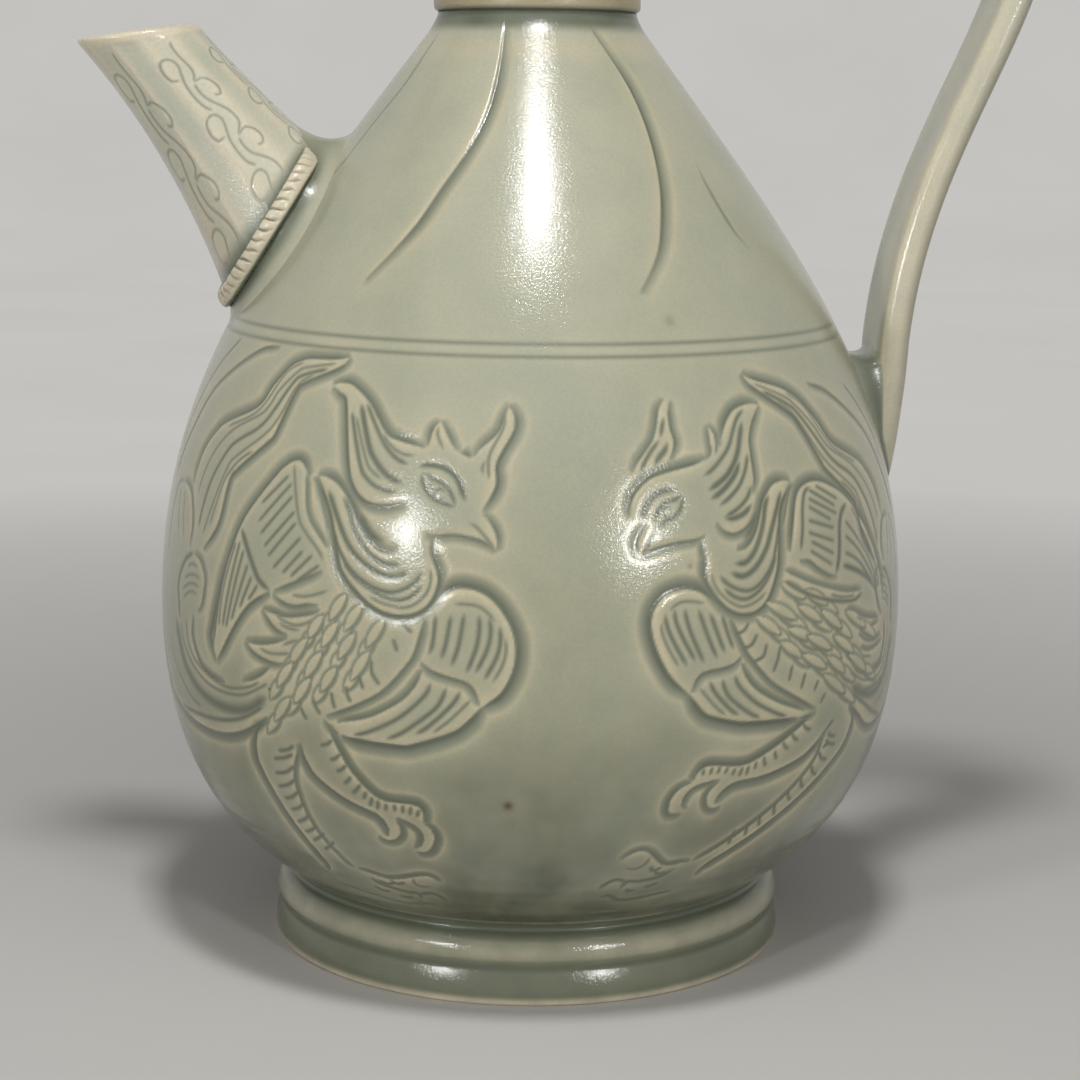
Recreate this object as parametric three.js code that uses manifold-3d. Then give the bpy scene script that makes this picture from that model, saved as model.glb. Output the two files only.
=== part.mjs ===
// Yue ware ewer: a thrown, pear-shaped celadon vessel with a turned foot ring, a neck with a trumpet mouth,
// a soft-faceted spout tied on by a notched rope of clay, and a strap handle from shoulder to neck.
// Millimetres, +Z up, the foot stands on z = 0, the spout points along -X and the handle along +X.
import * as THREE from "three";
import { mergeVertices } from "three/addons/utils/BufferGeometryUtils.js";
import Module from "manifold-3d";

// Body: outline from the foot joint to the throat, and its wall
const FOOT_JOINT_RADIUS = 48;
const FOOT_JOINT_HEIGHT = 14.5;
const FOOT_JOINT_RISE_DEG = 36;
const BELLY_RADIUS = 74.2;
const BELLY_HEIGHT = 69;
const SHOULDER_TOP_HEIGHT = 180;
const SHOULDER_TOP_TAPER_DEG = 37.2;
const THROAT_RADIUS = 19.4;
const THROAT_RISE = 5;
const THROAT_FLARE = 2.6;
const BODY_WALL = 4.5;
const BODY_FLOOR = 6;
// How far each curve's handles reach, as shares of the height it climbs
const LOWER_START_SHARE = 0.18;
const LOWER_END_SHARE = 0.7;
const UPPER_START_SHARE = 0.39;
const UPPER_END_SHARE = 0.47;

// Foot ring: a splayed lower band and a rounded upper moulding with a groove between them
const FOOT_SPLAY = 4;
const FOOT_EDGE = 1;
const FOOT_GROOVE_SHARE = 0.462;
const FOOT_GROOVE_DEPTH = 1.1;
const FOOT_GROOVE_WIDTH = 1.6;
const FOOT_MOULDING_INSET = 0.8;
const FOOT_MOULDING_SHARE = 0.607;
const FOOT_MOULDING_SWELL_SHARE = 0.87;
const FOOT_STANDING_WIDTH = 6;
const FOOT_TOP_WIDTH = 7;

// Neck, its string ring, and the mouth: heights are taken from the throat
const NECK_STEP = 1;
const NECK_WAIST_INSET = 2;
const NECK_WAIST_RISE = 22;
const NECK_WALL = 3.8;
const MOUTH_RADIUS = 28.5;
const MOUTH_RISE = 65;
const MOUTH_SPLAY_DEG = 42;
const MOUTH_LIP = 2.4;
const COLLAR_STANDOUT = 1.8;
const COLLAR_HEIGHT = 5;
const COLLAR_EDGE = 0.5;
const NECK_CURVE_SHARE = 0.45;
// The rounded lip: how far in from the rim and how far up the lip each point lies
const MOUTH_LIP_SHARES = [
  [0.12, 0.75],
  [0.5, 1],
  [1, 0.83],
];

// Spout: an axis that leaves the shoulder and bends outward a little, and a radius that flares to the root
const SPOUT_FOOT_SHARE = 0.669;
const SPOUT_RISE_DEG = 54;
const SPOUT_LENGTH = 47;
const SPOUT_BEND = 1.6;
const SPOUT_ROOT_RADIUS = 16.6;
const SPOUT_MOUTH_RADIUS = 10;
const SPOUT_TAPER_POWER = 1.9;
const SPOUT_WALL = 3;
const SPOUT_LIP = 1.2;
const SPOUT_CUT_DROP_DEG = 8.1;
const SPOUT_FACETS = 12;
const SPOUT_FACET_SAG_SHARE = 0.034;
const SPOUT_HOLE_RADIUS = 7;

// Root of the spout: a skirt of luted clay from the rope down to the shoulder. The rope's plane drops a
// little from square to the shoulder's surface.
const ROOT_PLANE_DISTANCE = 3.3;
const ROOT_PLANE_DROP_DEG = 3.2;
const ROOT_FLARE = 3;
const ROOT_FLARE_POWER = 4;

// Rope: a strip of clay round the spout's root, pressed into slanted notches
const ROPE_WIDTH = 4.2;
const ROPE_HEIGHT = 2.5;
const ROPE_NOTCHES = 36;
const ROPE_NOTCH_DEPTH = 0.9;
const ROPE_SLANT_SHARE = 0.55;
const ROPE_EDGE_SHARE = 0.25;
// Places across the strip, from its body side to its spout side
const ROPE_STRIP_SHARES = [-1, -0.85, -0.45, 0, 0.45, 0.85, 1];

// Handle: a strap that rises from the belly, swings out and arches back to the neck
const STRAP_WIDTH = 20;
const STRAP_THICKNESS = 6;
const HANDLE_FOOT_SHARE = 0.3694;
const HANDLE_FOOT_STANDOFF = 4.4;
const HANDLE_CROTCH_RISE = 11;
const HANDLE_TONGUE_DROP = 17;
const HANDLE_TIP_WIDTH = 11;
const HANDLE_OVERHANG = 24.3;
const HANDLE_BOW_RISE = 29;
const HANDLE_NECK_RISE = 44;
const HANDLE_NECK_DROP_DEG = 24;
const HANDLE_NECK_STANDOFF = 7;
const HANDLE_NECK_PAD_WIDTH = 25;
const HANDLE_NECK_PAD_THICKNESS = 12;
const HANDLE_RISE_START_SHARE = 0.484;
const HANDLE_RISE_END_SHARE = 0.335;
const HANDLE_ARCH_START = 27;
const HANDLE_ARCH_END = 48;

// Corners of the strap's section, across it and through it: two broad faces, the outer one a little hollow
const STRAP_SECTION_SHARES = [
  [-1, 0],
  [-0.93, 0.7],
  [-0.74, 1],
  [-0.26, 0.93],
  [0.26, 0.93],
  [0.74, 1],
  [0.93, 0.7],
  [1, 0],
  [0.93, -0.7],
  [0.74, -1],
  [0, -1],
  [-0.74, -1],
  [-0.93, -0.7],
];

// The lower root from the crotch to its tongue's tip: how far down, how wide, how far in to the body
const LOWER_ROOT_SHARES = [
  { drop: 0, width: 1, seat: 0 },
  { drop: 0.06, width: 1, seat: 0.3 },
  { drop: 0.14, width: 1, seat: 1 },
  { drop: 0.4, width: 0.97, seat: 1 },
  { drop: 0.7, width: 0.85, seat: 1 },
  { drop: 0.9, width: 0.65, seat: 1 },
  { drop: 1, width: 0.4, seat: 1 },
];
const LOWER_ROOT_TAPER_POWER = 4;

// Room between pieces that follow each other's curves, and the overrun of a cut
const SEAT_GAP = 0.3;
const OVERRUN = 2;

// Sizes that follow from the ones above
const THROAT_HEIGHT = SHOULDER_TOP_HEIGHT + THROAT_RISE;
const SHOULDER_TOP_RADIUS = THROAT_RADIUS + THROAT_FLARE;
const FOOT_RADIUS = FOOT_JOINT_RADIUS + FOOT_SPLAY;
const FOOT_GROOVE_HEIGHT = FOOT_JOINT_HEIGHT * FOOT_GROOVE_SHARE;
const FOOT_MOULDING_RADIUS = FOOT_RADIUS - FOOT_MOULDING_INSET;
const FOOT_MOULDING_HEIGHT = FOOT_JOINT_HEIGHT * FOOT_MOULDING_SHARE;
const NECK_BASE_RADIUS = THROAT_RADIUS - NECK_STEP;
const NECK_WAIST_RADIUS = NECK_BASE_RADIUS - NECK_WAIST_INSET;
const NECK_WAIST_HEIGHT = THROAT_HEIGHT + NECK_WAIST_RISE;
const MOUTH_HEIGHT = THROAT_HEIGHT + MOUTH_RISE;
const COLLAR_RADIUS = NECK_BASE_RADIUS + COLLAR_STANDOUT;
const SPOUT_FOOT_HEIGHT = shoulderHeight(SPOUT_FOOT_SHARE);
const HANDLE_FOOT_HEIGHT = shoulderHeight(HANDLE_FOOT_SHARE);
const HANDLE_CROTCH_HEIGHT = HANDLE_FOOT_HEIGHT + HANDLE_CROTCH_RISE;
const HANDLE_TIP_HEIGHT = HANDLE_FOOT_HEIGHT - HANDLE_TONGUE_DROP;
const HANDLE_REACH = BELLY_RADIUS + HANDLE_OVERHANG;
const HANDLE_REACH_HEIGHT = THROAT_HEIGHT + HANDLE_BOW_RISE;
const HANDLE_NECK_HEIGHT = THROAT_HEIGHT + HANDLE_NECK_RISE;

// Facets
const BODY_SEGMENTS = 56;
const NECK_SEGMENTS = 40;
const LOWER_STEPS = 7;
const UPPER_STEPS = 11;
const THROAT_STEPS = 2;
const NECK_LOW_STEPS = 3;
const NECK_HIGH_STEPS = 7;
const MOULDING_STEPS = 3;
const SPOUT_ROWS = 7;
const ROOT_ROWS = 4;
const NOTCH_STEPS = 4;
const STRAP_STEPS_LOW = 11;
const STRAP_STEPS_HIGH = 13;
const PAD_STEPS = 3;
const HALVINGS = 40;

const wasm = await Module();
wasm.setup();

// Small tools

// The height at a share of the way from the belly to the top of the shoulder
function shoulderHeight(share) {
  return THREE.MathUtils.lerp(BELLY_HEIGHT, SHOULDER_TOP_HEIGHT, share);
}

function polar(length, degrees) {
  const angle = THREE.MathUtils.degToRad(degrees);
  return new THREE.Vector2(length * Math.cos(angle), length * Math.sin(angle));
}

function cubic(start, startHandle, endHandle, end) {
  return new THREE.CubicBezierCurve(start, startHandle, endHandle, end);
}

// Points of an outline, each moved square to it: a positive distance moves to the left of its course.
function offsetOutline(points, distance) {
  return points.map((point, i) => {
    const before = points[Math.max(i - 1, 0)];
    const after = points[Math.min(i + 1, points.length - 1)];
    const course = after.clone().sub(before).normalize();
    return new THREE.Vector2(point.x - course.y * distance, point.y + course.x * distance);
  });
}

function radiusAt(points, height) {
  const i = points.findIndex((point, k) => k > 0 && point.y >= height);
  const high = points[i < 0 ? points.length - 1 : i];
  const low = points[(i < 0 ? points.length - 1 : i) - 1];
  return THREE.MathUtils.mapLinear(height, low.y, high.y, low.x, high.x);
}

function revolve(profile, segments) {
  return new THREE.LatheGeometry(profile, segments).rotateX(Math.PI / 2);
}

function solidFrom(geometry) {
  const bare = geometry.clone();
  bare.deleteAttribute("normal");
  bare.deleteAttribute("uv");
  const merged = mergeVertices(bare);
  return new wasm.Manifold(
    new wasm.Mesh({
      numProp: 3,
      vertProperties: merged.attributes.position.array,
      triVerts: new Uint32Array(merged.index.array),
    }),
  );
}

function geometryFrom(solid) {
  const mesh = solid.getMesh();
  const geometry = new THREE.BufferGeometry();
  geometry.setAttribute("position", new THREE.BufferAttribute(mesh.vertProperties, 3));
  geometry.setIndex(new THREE.BufferAttribute(mesh.triVerts, 1));
  geometry.computeVertexNormals();
  return geometry;
}

// A closed surface through a stack of rings of points: a loop joins last ring to first, a stack is capped.
function loft(rings, { loop = false } = {}) {
  const count = rings[0].length;
  const positions = rings.flat().flatMap((point) => point.toArray());
  const index = [];
  const spans = loop ? rings.length : rings.length - 1;
  for (let k = 0; k < spans; k++) {
    for (let i = 0; i < count; i++) {
      const a = k * count + i;
      const b = k * count + ((i + 1) % count);
      const c = ((k + 1) % rings.length) * count + i;
      const d = ((k + 1) % rings.length) * count + ((i + 1) % count);
      index.push(a, b, d, a, d, c);
    }
  }
  if (!loop) {
    const last = (rings.length - 1) * count;
    for (let i = 1; i < count - 1; i++) {
      index.push(0, i + 1, i);
      index.push(last, last + i, last + i + 1);
    }
  }
  const geometry = new THREE.BufferGeometry();
  geometry.setAttribute("position", new THREE.Float32BufferAttribute(positions, 3));
  geometry.setIndex(index);
  geometry.computeVertexNormals();
  return geometry;
}

// The share between low and high at which a rising function passes zero
function crossing(measure, low, high) {
  let [from, to] = [low, high];
  for (let i = 0; i < HALVINGS; i++) {
    const middle = (from + to) / 2;
    if (measure(middle) < 0) from = middle;
    else to = middle;
  }
  return (from + to) / 2;
}

// Body

function bodyOutline() {
  const lowerRise = BELLY_HEIGHT - FOOT_JOINT_HEIGHT;
  const upperRise = SHOULDER_TOP_HEIGHT - BELLY_HEIGHT;
  const joint = new THREE.Vector2(FOOT_JOINT_RADIUS, FOOT_JOINT_HEIGHT);
  const belly = new THREE.Vector2(BELLY_RADIUS, BELLY_HEIGHT);
  const top = new THREE.Vector2(SHOULDER_TOP_RADIUS, SHOULDER_TOP_HEIGHT);
  const throat = new THREE.Vector2(THROAT_RADIUS, THROAT_HEIGHT);
  const up = new THREE.Vector2(0, 1);
  const taper = THREE.MathUtils.degToRad(SHOULDER_TOP_TAPER_DEG);
  const coneCourse = up.clone().rotateAround(new THREE.Vector2(), taper);
  const lower = cubic(
    joint,
    joint.clone().add(polar(lowerRise * LOWER_START_SHARE, FOOT_JOINT_RISE_DEG)),
    belly.clone().addScaledVector(up, -lowerRise * LOWER_END_SHARE),
    belly,
  );
  const upper = cubic(
    belly,
    belly.clone().addScaledVector(up, upperRise * UPPER_START_SHARE),
    top.clone().addScaledVector(coneCourse, -upperRise * UPPER_END_SHARE),
    top,
  );
  const corner = new THREE.Vector2(THROAT_RADIUS, SHOULDER_TOP_HEIGHT + THROAT_FLARE / Math.tan(taper));
  const neckTurn = new THREE.QuadraticBezierCurve(top, corner, throat);
  return [
    ...lower.getPoints(LOWER_STEPS),
    ...upper.getPoints(UPPER_STEPS).slice(1),
    ...neckTurn.getPoints(THROAT_STEPS).slice(1),
  ];
}

const bodyOuter = bodyOutline();

function bodyInner() {
  const floor = FOOT_JOINT_HEIGHT + BODY_FLOOR;
  const inner = offsetOutline(bodyOuter, BODY_WALL);
  const mouth = new THREE.Vector2(THROAT_RADIUS - BODY_WALL, THROAT_HEIGHT);
  const low = floor + BODY_WALL / 2;
  const high = THROAT_HEIGHT - BODY_WALL / 2;
  const wall = inner.filter((point) => point.y > low && point.y < high);
  const corner = new THREE.Vector2(radiusAt(inner, low) - BODY_WALL, floor);
  return [mouth, ...wall.reverse(), corner];
}

// The body's outer form as a plain solid, grown by the gap that a piece seated on it keeps
function bodySeat() {
  const grown = offsetOutline(bodyOuter, -SEAT_GAP);
  const bottom = new THREE.Vector2(0, FOOT_JOINT_HEIGHT - OVERRUN);
  const top = new THREE.Vector2(0, THROAT_HEIGHT + OVERRUN);
  const low = new THREE.Vector2(grown[0].x, FOOT_JOINT_HEIGHT - OVERRUN);
  const high = new THREE.Vector2(grown.at(-1).x, THROAT_HEIGHT + OVERRUN);
  return solidFrom(revolve([bottom, low, ...grown, high, top], BODY_SEGMENTS));
}

// Spout: points on a surface of rulings that follow the bent axis

const spoutCourse = polar(1, SPOUT_RISE_DEG);
const spoutOut = new THREE.Vector3(-spoutCourse.x, 0, spoutCourse.y);
const spoutUp = new THREE.Vector3(spoutCourse.y, 0, spoutCourse.x);
const spoutSide = new THREE.Vector3(0, 1, 0);
const spoutFoot = new THREE.Vector3(-radiusAt(bodyOuter, SPOUT_FOOT_HEIGHT), 0, SPOUT_FOOT_HEIGHT);

function spoutCentre(distance) {
  const along = distance / SPOUT_LENGTH;
  const bend = -SPOUT_BEND * Math.max(along, 0) ** 2;
  return spoutFoot.clone().addScaledVector(spoutOut, distance).addScaledVector(spoutUp, bend);
}

function spoutRadius(distance) {
  const left = (SPOUT_LENGTH - distance) / SPOUT_LENGTH;
  const swell = Math.max(left, 0) ** SPOUT_TAPER_POWER;
  return THREE.MathUtils.lerp(SPOUT_MOUTH_RADIUS, SPOUT_ROOT_RADIUS, swell);
}

// Every other point of the section is a facet's middle, which lies in from the ridges.
const spoutAngles = Array.from({ length: 2 * SPOUT_FACETS }, (_, i) => ({
  angle: (i * Math.PI) / SPOUT_FACETS,
  flat: i % 2 ? 1 - SPOUT_FACET_SAG_SHARE : 1,
}));

function spoutPoint(distance, { angle, flat }, inset = 0) {
  const radius = (spoutRadius(distance) - inset) * flat;
  return spoutCentre(distance)
    .addScaledVector(spoutUp, radius * Math.cos(angle))
    .addScaledVector(spoutSide, radius * Math.sin(angle));
}

const mouthCourse = polar(1, SPOUT_CUT_DROP_DEG);
const spoutMouthPlane = new THREE.Plane().setFromNormalAndCoplanarPoint(
  new THREE.Vector3(-mouthCourse.y, 0, mouthCourse.x),
  spoutCentre(SPOUT_LENGTH),
);
const shoulderRun = radiusAt(bodyOuter, SPOUT_FOOT_HEIGHT - SPOUT_ROOT_RADIUS / 2) -
  radiusAt(bodyOuter, SPOUT_FOOT_HEIGHT + SPOUT_ROOT_RADIUS / 2);
const shoulderRise = THREE.MathUtils.radToDeg(Math.atan(shoulderRun / SPOUT_ROOT_RADIUS));
const rootCourse = polar(1, shoulderRise - ROOT_PLANE_DROP_DEG);
const rootNormal = new THREE.Vector3(-rootCourse.x, 0, rootCourse.y);
const rootPlane = new THREE.Plane().setFromNormalAndCoplanarPoint(
  rootNormal,
  spoutCentre(ROOT_PLANE_DISTANCE),
);

// Where the ruling at one angle passes a plane
function rulingStop(plane, ruling, inset) {
  return crossing(
    (distance) => plane.distanceToPoint(spoutPoint(distance, ruling, inset)),
    -SPOUT_LENGTH,
    2 * SPOUT_LENGTH,
  );
}

function spoutRow(share, inset, trim = 0) {
  return spoutAngles.map((ruling) => {
    const start = rulingStop(rootPlane, ruling, inset);
    const end = rulingStop(spoutMouthPlane, ruling, inset) - trim;
    return spoutPoint(THREE.MathUtils.lerp(start, end, share), ruling, inset);
  });
}

function spoutGeometry() {
  const shares = Array.from({ length: SPOUT_ROWS + 1 }, (_, i) => i / SPOUT_ROWS);
  const outer = shares.map((share) => spoutRow(share, 0, SPOUT_LIP));
  const lip = [spoutRow(1, SPOUT_LIP / 2, 0), spoutRow(1, SPOUT_WALL - SPOUT_LIP / 2, 0)];
  const inner = shares.map((share) => spoutRow(1 - share, SPOUT_WALL, SPOUT_LIP));
  return loft([...outer, ...lip, ...inner], { loop: true });
}

// Root of the spout: from the rope's plane down to the shoulder, its foot cut to the body's curve

function shoulderStop(ruling, inset) {
  return crossing((distance) => {
    const point = spoutPoint(distance, ruling, inset);
    return Math.hypot(point.x, point.y) - radiusAt(bodyOuter, point.z);
  }, -SPOUT_ROOT_RADIUS, SPOUT_ROOT_RADIUS);
}

function rootRow(share, inset) {
  return spoutAngles.map((ruling) => {
    const top = rulingStop(rootPlane, ruling, inset);
    const foot = shoulderStop(ruling, inset) - OVERRUN;
    const distance = THREE.MathUtils.lerp(top, foot, share);
    const flare = inset > 0 ? 0 : ROOT_FLARE * share ** ROOT_FLARE_POWER;
    return spoutPoint(distance, ruling, inset - flare);
  });
}

function spoutRootSolid() {
  const shares = Array.from({ length: ROOT_ROWS + 1 }, (_, i) => i / ROOT_ROWS);
  const outer = shares.map((share) => rootRow(1 - share, 0));
  const inner = [rootRow(0, SPOUT_WALL), rootRow(1, SPOUT_WALL)];
  return solidFrom(loft([...outer, ...inner], { loop: true }));
}

// Rope: a strip round the spout along the root's plane. Its crest dips at every notch, and the dips lean.

function ropeGeometry() {
  const rings = [];
  const steps = ROPE_NOTCHES * NOTCH_STEPS;
  for (let i = 0; i < steps; i++) {
    const angle = (-2 * Math.PI * i) / steps;
    const ruling = { angle, flat: 1 };
    const stop = rulingStop(rootPlane, ruling, 0);
    const seat = spoutPoint(stop, ruling);
    const behind = spoutPoint(stop - SPOUT_LIP, ruling);
    const ahead = spoutPoint(stop + SPOUT_LIP, ruling).sub(behind).normalize();
    const outward = seat.clone().sub(spoutCentre(stop));
    outward.addScaledVector(ahead, -outward.dot(ahead)).normalize();
    const place = (share, rise) =>
      seat
        .clone()
        .addScaledVector(ahead, (share * ROPE_WIDTH) / 2)
        .addScaledVector(outward, SEAT_GAP + rise);
    const crown = ROPE_STRIP_SHARES.map((share) => {
      const turn = i / NOTCH_STEPS + ROPE_SLANT_SHARE * share;
      const dip = ROPE_NOTCH_DEPTH * Math.max(Math.cos(2 * Math.PI * turn), 0) ** 2;
      const height = ROPE_HEIGHT * (1 - ROPE_EDGE_SHARE) - dip;
      return place(share, ROPE_HEIGHT * ROPE_EDGE_SHARE + Math.sqrt(1 - share ** 2) * height);
    });
    rings.push([...crown, place(1, 0), place(-1, 0)]);
  }
  return loft(rings, { loop: true });
}

// Handle

function strapRing(centre, course, width, thickness) {
  const across = new THREE.Vector3(0, 1, 0);
  const outward = new THREE.Vector3().crossVectors(across, course).normalize();
  return STRAP_SECTION_SHARES.map(([side, face]) =>
    centre
      .clone()
      .addScaledVector(across, (side * width) / 2)
      .addScaledVector(outward, (face * thickness) / 2),
  );
}

const handleFoot = new THREE.Vector3(
  radiusAt(bodyOuter, HANDLE_FOOT_HEIGHT) + HANDLE_FOOT_STANDOFF,
  0,
  HANDLE_FOOT_HEIGHT,
);
const handleBow = new THREE.Vector3(HANDLE_REACH, 0, HANDLE_REACH_HEIGHT);
const handleRise = HANDLE_REACH_HEIGHT - HANDLE_FOOT_HEIGHT;
const upward = new THREE.Vector3(0, 0, 1);

const risingCurve = new THREE.CubicBezierCurve3(
  handleFoot,
  handleFoot.clone().addScaledVector(upward, handleRise * HANDLE_RISE_START_SHARE),
  handleBow.clone().addScaledVector(upward, -handleRise * HANDLE_RISE_END_SHARE),
  handleBow,
);

const neckOuter = neckOutline();
const neckCourse = polar(1, HANDLE_NECK_DROP_DEG);
const towardNeck = new THREE.Vector3(-neckCourse.x, 0, -neckCourse.y);
const neckSeat = new THREE.Vector3(radiusAt(neckOuter, HANDLE_NECK_HEIGHT), 0, HANDLE_NECK_HEIGHT);
const strapEnd = neckSeat.clone().addScaledVector(towardNeck, -HANDLE_NECK_STANDOFF);

const archingCurve = new THREE.CubicBezierCurve3(
  handleBow,
  handleBow.clone().addScaledVector(upward, HANDLE_ARCH_START),
  strapEnd.clone().addScaledVector(towardNeck, -HANDLE_ARCH_END),
  strapEnd,
);

const strapStart = crossing((share) => risingCurve.getPoint(share).z - HANDLE_CROTCH_HEIGHT, 0, 1);

function handleStrapGeometry() {
  const rings = [];
  for (let i = 0; i <= STRAP_STEPS_LOW; i++) {
    const share = THREE.MathUtils.lerp(strapStart, 1, i / STRAP_STEPS_LOW);
    const course = i ? risingCurve.getTangent(share) : upward;
    rings.push(strapRing(risingCurve.getPoint(share), course, STRAP_WIDTH, STRAP_THICKNESS));
  }
  for (let i = 1; i <= STRAP_STEPS_HIGH; i++) {
    const share = i / STRAP_STEPS_HIGH;
    const course = archingCurve.getTangent(share);
    rings.push(strapRing(archingCurve.getPoint(share), course, STRAP_WIDTH, STRAP_THICKNESS));
  }
  return loft(rings);
}

// Lower root: the strap's end pressed on the body as a tongue, with a web of clay behind it
function lowerRootSolid() {
  const drop = HANDLE_CROTCH_RISE + HANDLE_TONGUE_DROP;
  const tipFace = radiusAt(bodyOuter, HANDLE_TIP_HEIGHT) + SEAT_GAP;
  const topFace = risingCurve.getPoint(strapStart).x + STRAP_THICKNESS / 2;
  const rings = LOWER_ROOT_SHARES.map((row) => {
    const height = HANDLE_CROTCH_HEIGHT - drop * row.drop;
    const face = THREE.MathUtils.lerp(topFace, tipFace, row.drop ** LOWER_ROOT_TAPER_POWER);
    const sunk = radiusAt(bodyOuter, height) - 2 * OVERRUN;
    const back = THREE.MathUtils.lerp(face - STRAP_THICKNESS, sunk, row.seat);
    const width = THREE.MathUtils.lerp(HANDLE_TIP_WIDTH, STRAP_WIDTH, row.width);
    return strapRing(new THREE.Vector3((face + back) / 2, 0, height), upward, width, face - back);
  });
  return solidFrom(loft(rings.reverse()));
}

// Upper root: a pad that grows from the strap's end and is cut to the neck
function upperRootSolid() {
  const rings = [];
  for (let i = 0; i <= PAD_STEPS; i++) {
    const share = i / PAD_STEPS;
    const advance = THREE.MathUtils.lerp(SEAT_GAP, HANDLE_NECK_STANDOFF + NECK_WALL / 2, share);
    const width = THREE.MathUtils.lerp(STRAP_WIDTH, HANDLE_NECK_PAD_WIDTH, share ** 2);
    const thickness = THREE.MathUtils.lerp(STRAP_THICKNESS, HANDLE_NECK_PAD_THICKNESS, share ** 2);
    const centre = strapEnd.clone().addScaledVector(towardNeck, advance);
    rings.push(strapRing(centre, towardNeck, width, thickness));
  }
  return solidFrom(loft(rings));
}

// Neck and mouth

function neckOutline() {
  const base = new THREE.Vector2(NECK_BASE_RADIUS, THROAT_HEIGHT);
  const waist = new THREE.Vector2(NECK_WAIST_RADIUS, NECK_WAIST_HEIGHT);
  const edge = new THREE.Vector2(MOUTH_RADIUS, MOUTH_HEIGHT - MOUTH_LIP);
  const lowRise = (NECK_WAIST_HEIGHT - THROAT_HEIGHT) * NECK_CURVE_SHARE;
  const highRise = (MOUTH_HEIGHT - NECK_WAIST_HEIGHT) * NECK_CURVE_SHARE;
  const splay = polar(highRise, MOUTH_SPLAY_DEG);
  const up = new THREE.Vector2(0, 1);
  const low = cubic(
    base,
    base.clone().addScaledVector(up, lowRise),
    waist.clone().addScaledVector(up, -lowRise),
    waist,
  );
  const high = cubic(waist, waist.clone().addScaledVector(up, highRise), edge.clone().sub(splay), edge);
  return [...low.getPoints(NECK_LOW_STEPS), ...high.getPoints(NECK_HIGH_STEPS).slice(1)];
}

function neckGeometry() {
  const inner = offsetOutline(neckOuter, NECK_WALL).reverse();
  const bore = new THREE.Vector2(NECK_BASE_RADIUS - NECK_WALL, THROAT_HEIGHT);
  const edge = new THREE.Vector2(MOUTH_RADIUS, MOUTH_HEIGHT - MOUTH_LIP);
  const lip = MOUTH_LIP_SHARES.map(([inward, rise]) =>
    edge.clone().add(new THREE.Vector2(-inward, rise).multiplyScalar(MOUTH_LIP)));
  const profile = [...neckOuter, ...lip, ...inner.slice(1, -1), bore, neckOuter[0]];
  return revolve(profile, NECK_SEGMENTS);
}

function neckSeatSolid() {
  const grown = offsetOutline(neckOuter, -SEAT_GAP);
  const bottom = new THREE.Vector2(0, THROAT_HEIGHT);
  const top = new THREE.Vector2(0, grown.at(-1).y);
  return solidFrom(revolve([bottom, ...grown, top], NECK_SEGMENTS));
}

function collarGeometry() {
  const bore = NECK_BASE_RADIUS + SEAT_GAP;
  const low = THROAT_HEIGHT;
  const high = THROAT_HEIGHT + COLLAR_HEIGHT;
  const profile = [
    [bore, low],
    [COLLAR_RADIUS - COLLAR_EDGE, low],
    [COLLAR_RADIUS, low + COLLAR_EDGE],
    [COLLAR_RADIUS, high - COLLAR_EDGE],
    [COLLAR_RADIUS - COLLAR_EDGE, high],
    [bore, high],
    [bore, low],
  ].map(([radius, height]) => new THREE.Vector2(radius, height));
  return revolve(profile, NECK_SEGMENTS);
}

// Foot ring

function footGeometry() {
  const standing = FOOT_RADIUS - FOOT_STANDING_WIDTH;
  const swellHeight = (FOOT_MOULDING_HEIGHT + FOOT_JOINT_HEIGHT) / 2;
  const swell = (FOOT_SPLAY - FOOT_MOULDING_INSET) * FOOT_MOULDING_SWELL_SHARE;
  const moulding = new THREE.QuadraticBezierCurve(
    new THREE.Vector2(FOOT_MOULDING_RADIUS, FOOT_MOULDING_HEIGHT),
    new THREE.Vector2(FOOT_JOINT_RADIUS + swell, swellHeight),
    new THREE.Vector2(FOOT_JOINT_RADIUS, FOOT_JOINT_HEIGHT),
  );
  const lower = [
    [standing, 0],
    [FOOT_RADIUS - FOOT_EDGE, 0],
    [FOOT_RADIUS, FOOT_EDGE],
    [FOOT_RADIUS, FOOT_GROOVE_HEIGHT - FOOT_GROOVE_WIDTH],
    [FOOT_RADIUS - FOOT_GROOVE_DEPTH, FOOT_GROOVE_HEIGHT],
  ];
  const recess = [
    [FOOT_JOINT_RADIUS - FOOT_TOP_WIDTH, FOOT_JOINT_HEIGHT],
    [standing - FOOT_EDGE, FOOT_EDGE],
    [standing, 0],
  ];
  const corner = ([radius, height]) => new THREE.Vector2(radius, height);
  const profile = [...lower.map(corner), ...moulding.getPoints(MOULDING_STEPS), ...recess.map(corner)];
  return revolve(profile, BODY_SEGMENTS);
}

// The pieces

function bodySolid() {
  const floor = new THREE.Vector2(0, FOOT_JOINT_HEIGHT + BODY_FLOOR);
  const bottom = new THREE.Vector2(0, FOOT_JOINT_HEIGHT);
  const shell = solidFrom(revolve([bottom, ...bodyOuter, ...bodyInner(), floor], BODY_SEGMENTS));
  const drillLength = 2 * SPOUT_ROOT_RADIUS;
  const drillTurn = new THREE.Quaternion().setFromUnitVectors(new THREE.Vector3(0, 1, 0), spoutOut);
  const drill = new THREE.CylinderGeometry(SPOUT_HOLE_RADIUS, SPOUT_HOLE_RADIUS, drillLength, SPOUT_FACETS)
    .applyQuaternion(drillTurn)
    .translate(...spoutFoot.toArray());
  return shell.subtract(solidFrom(drill));
}

const seat = bodySeat();
const GLAZE = { color: 0x9aa084, roughness: 0.32, metalness: 0 };
const THIN_GLAZE = { color: 0xc2b692, roughness: 0.38, metalness: 0 };
const POOLED_GLAZE = { color: 0x7d9180, roughness: 0.26, metalness: 0 };

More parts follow.
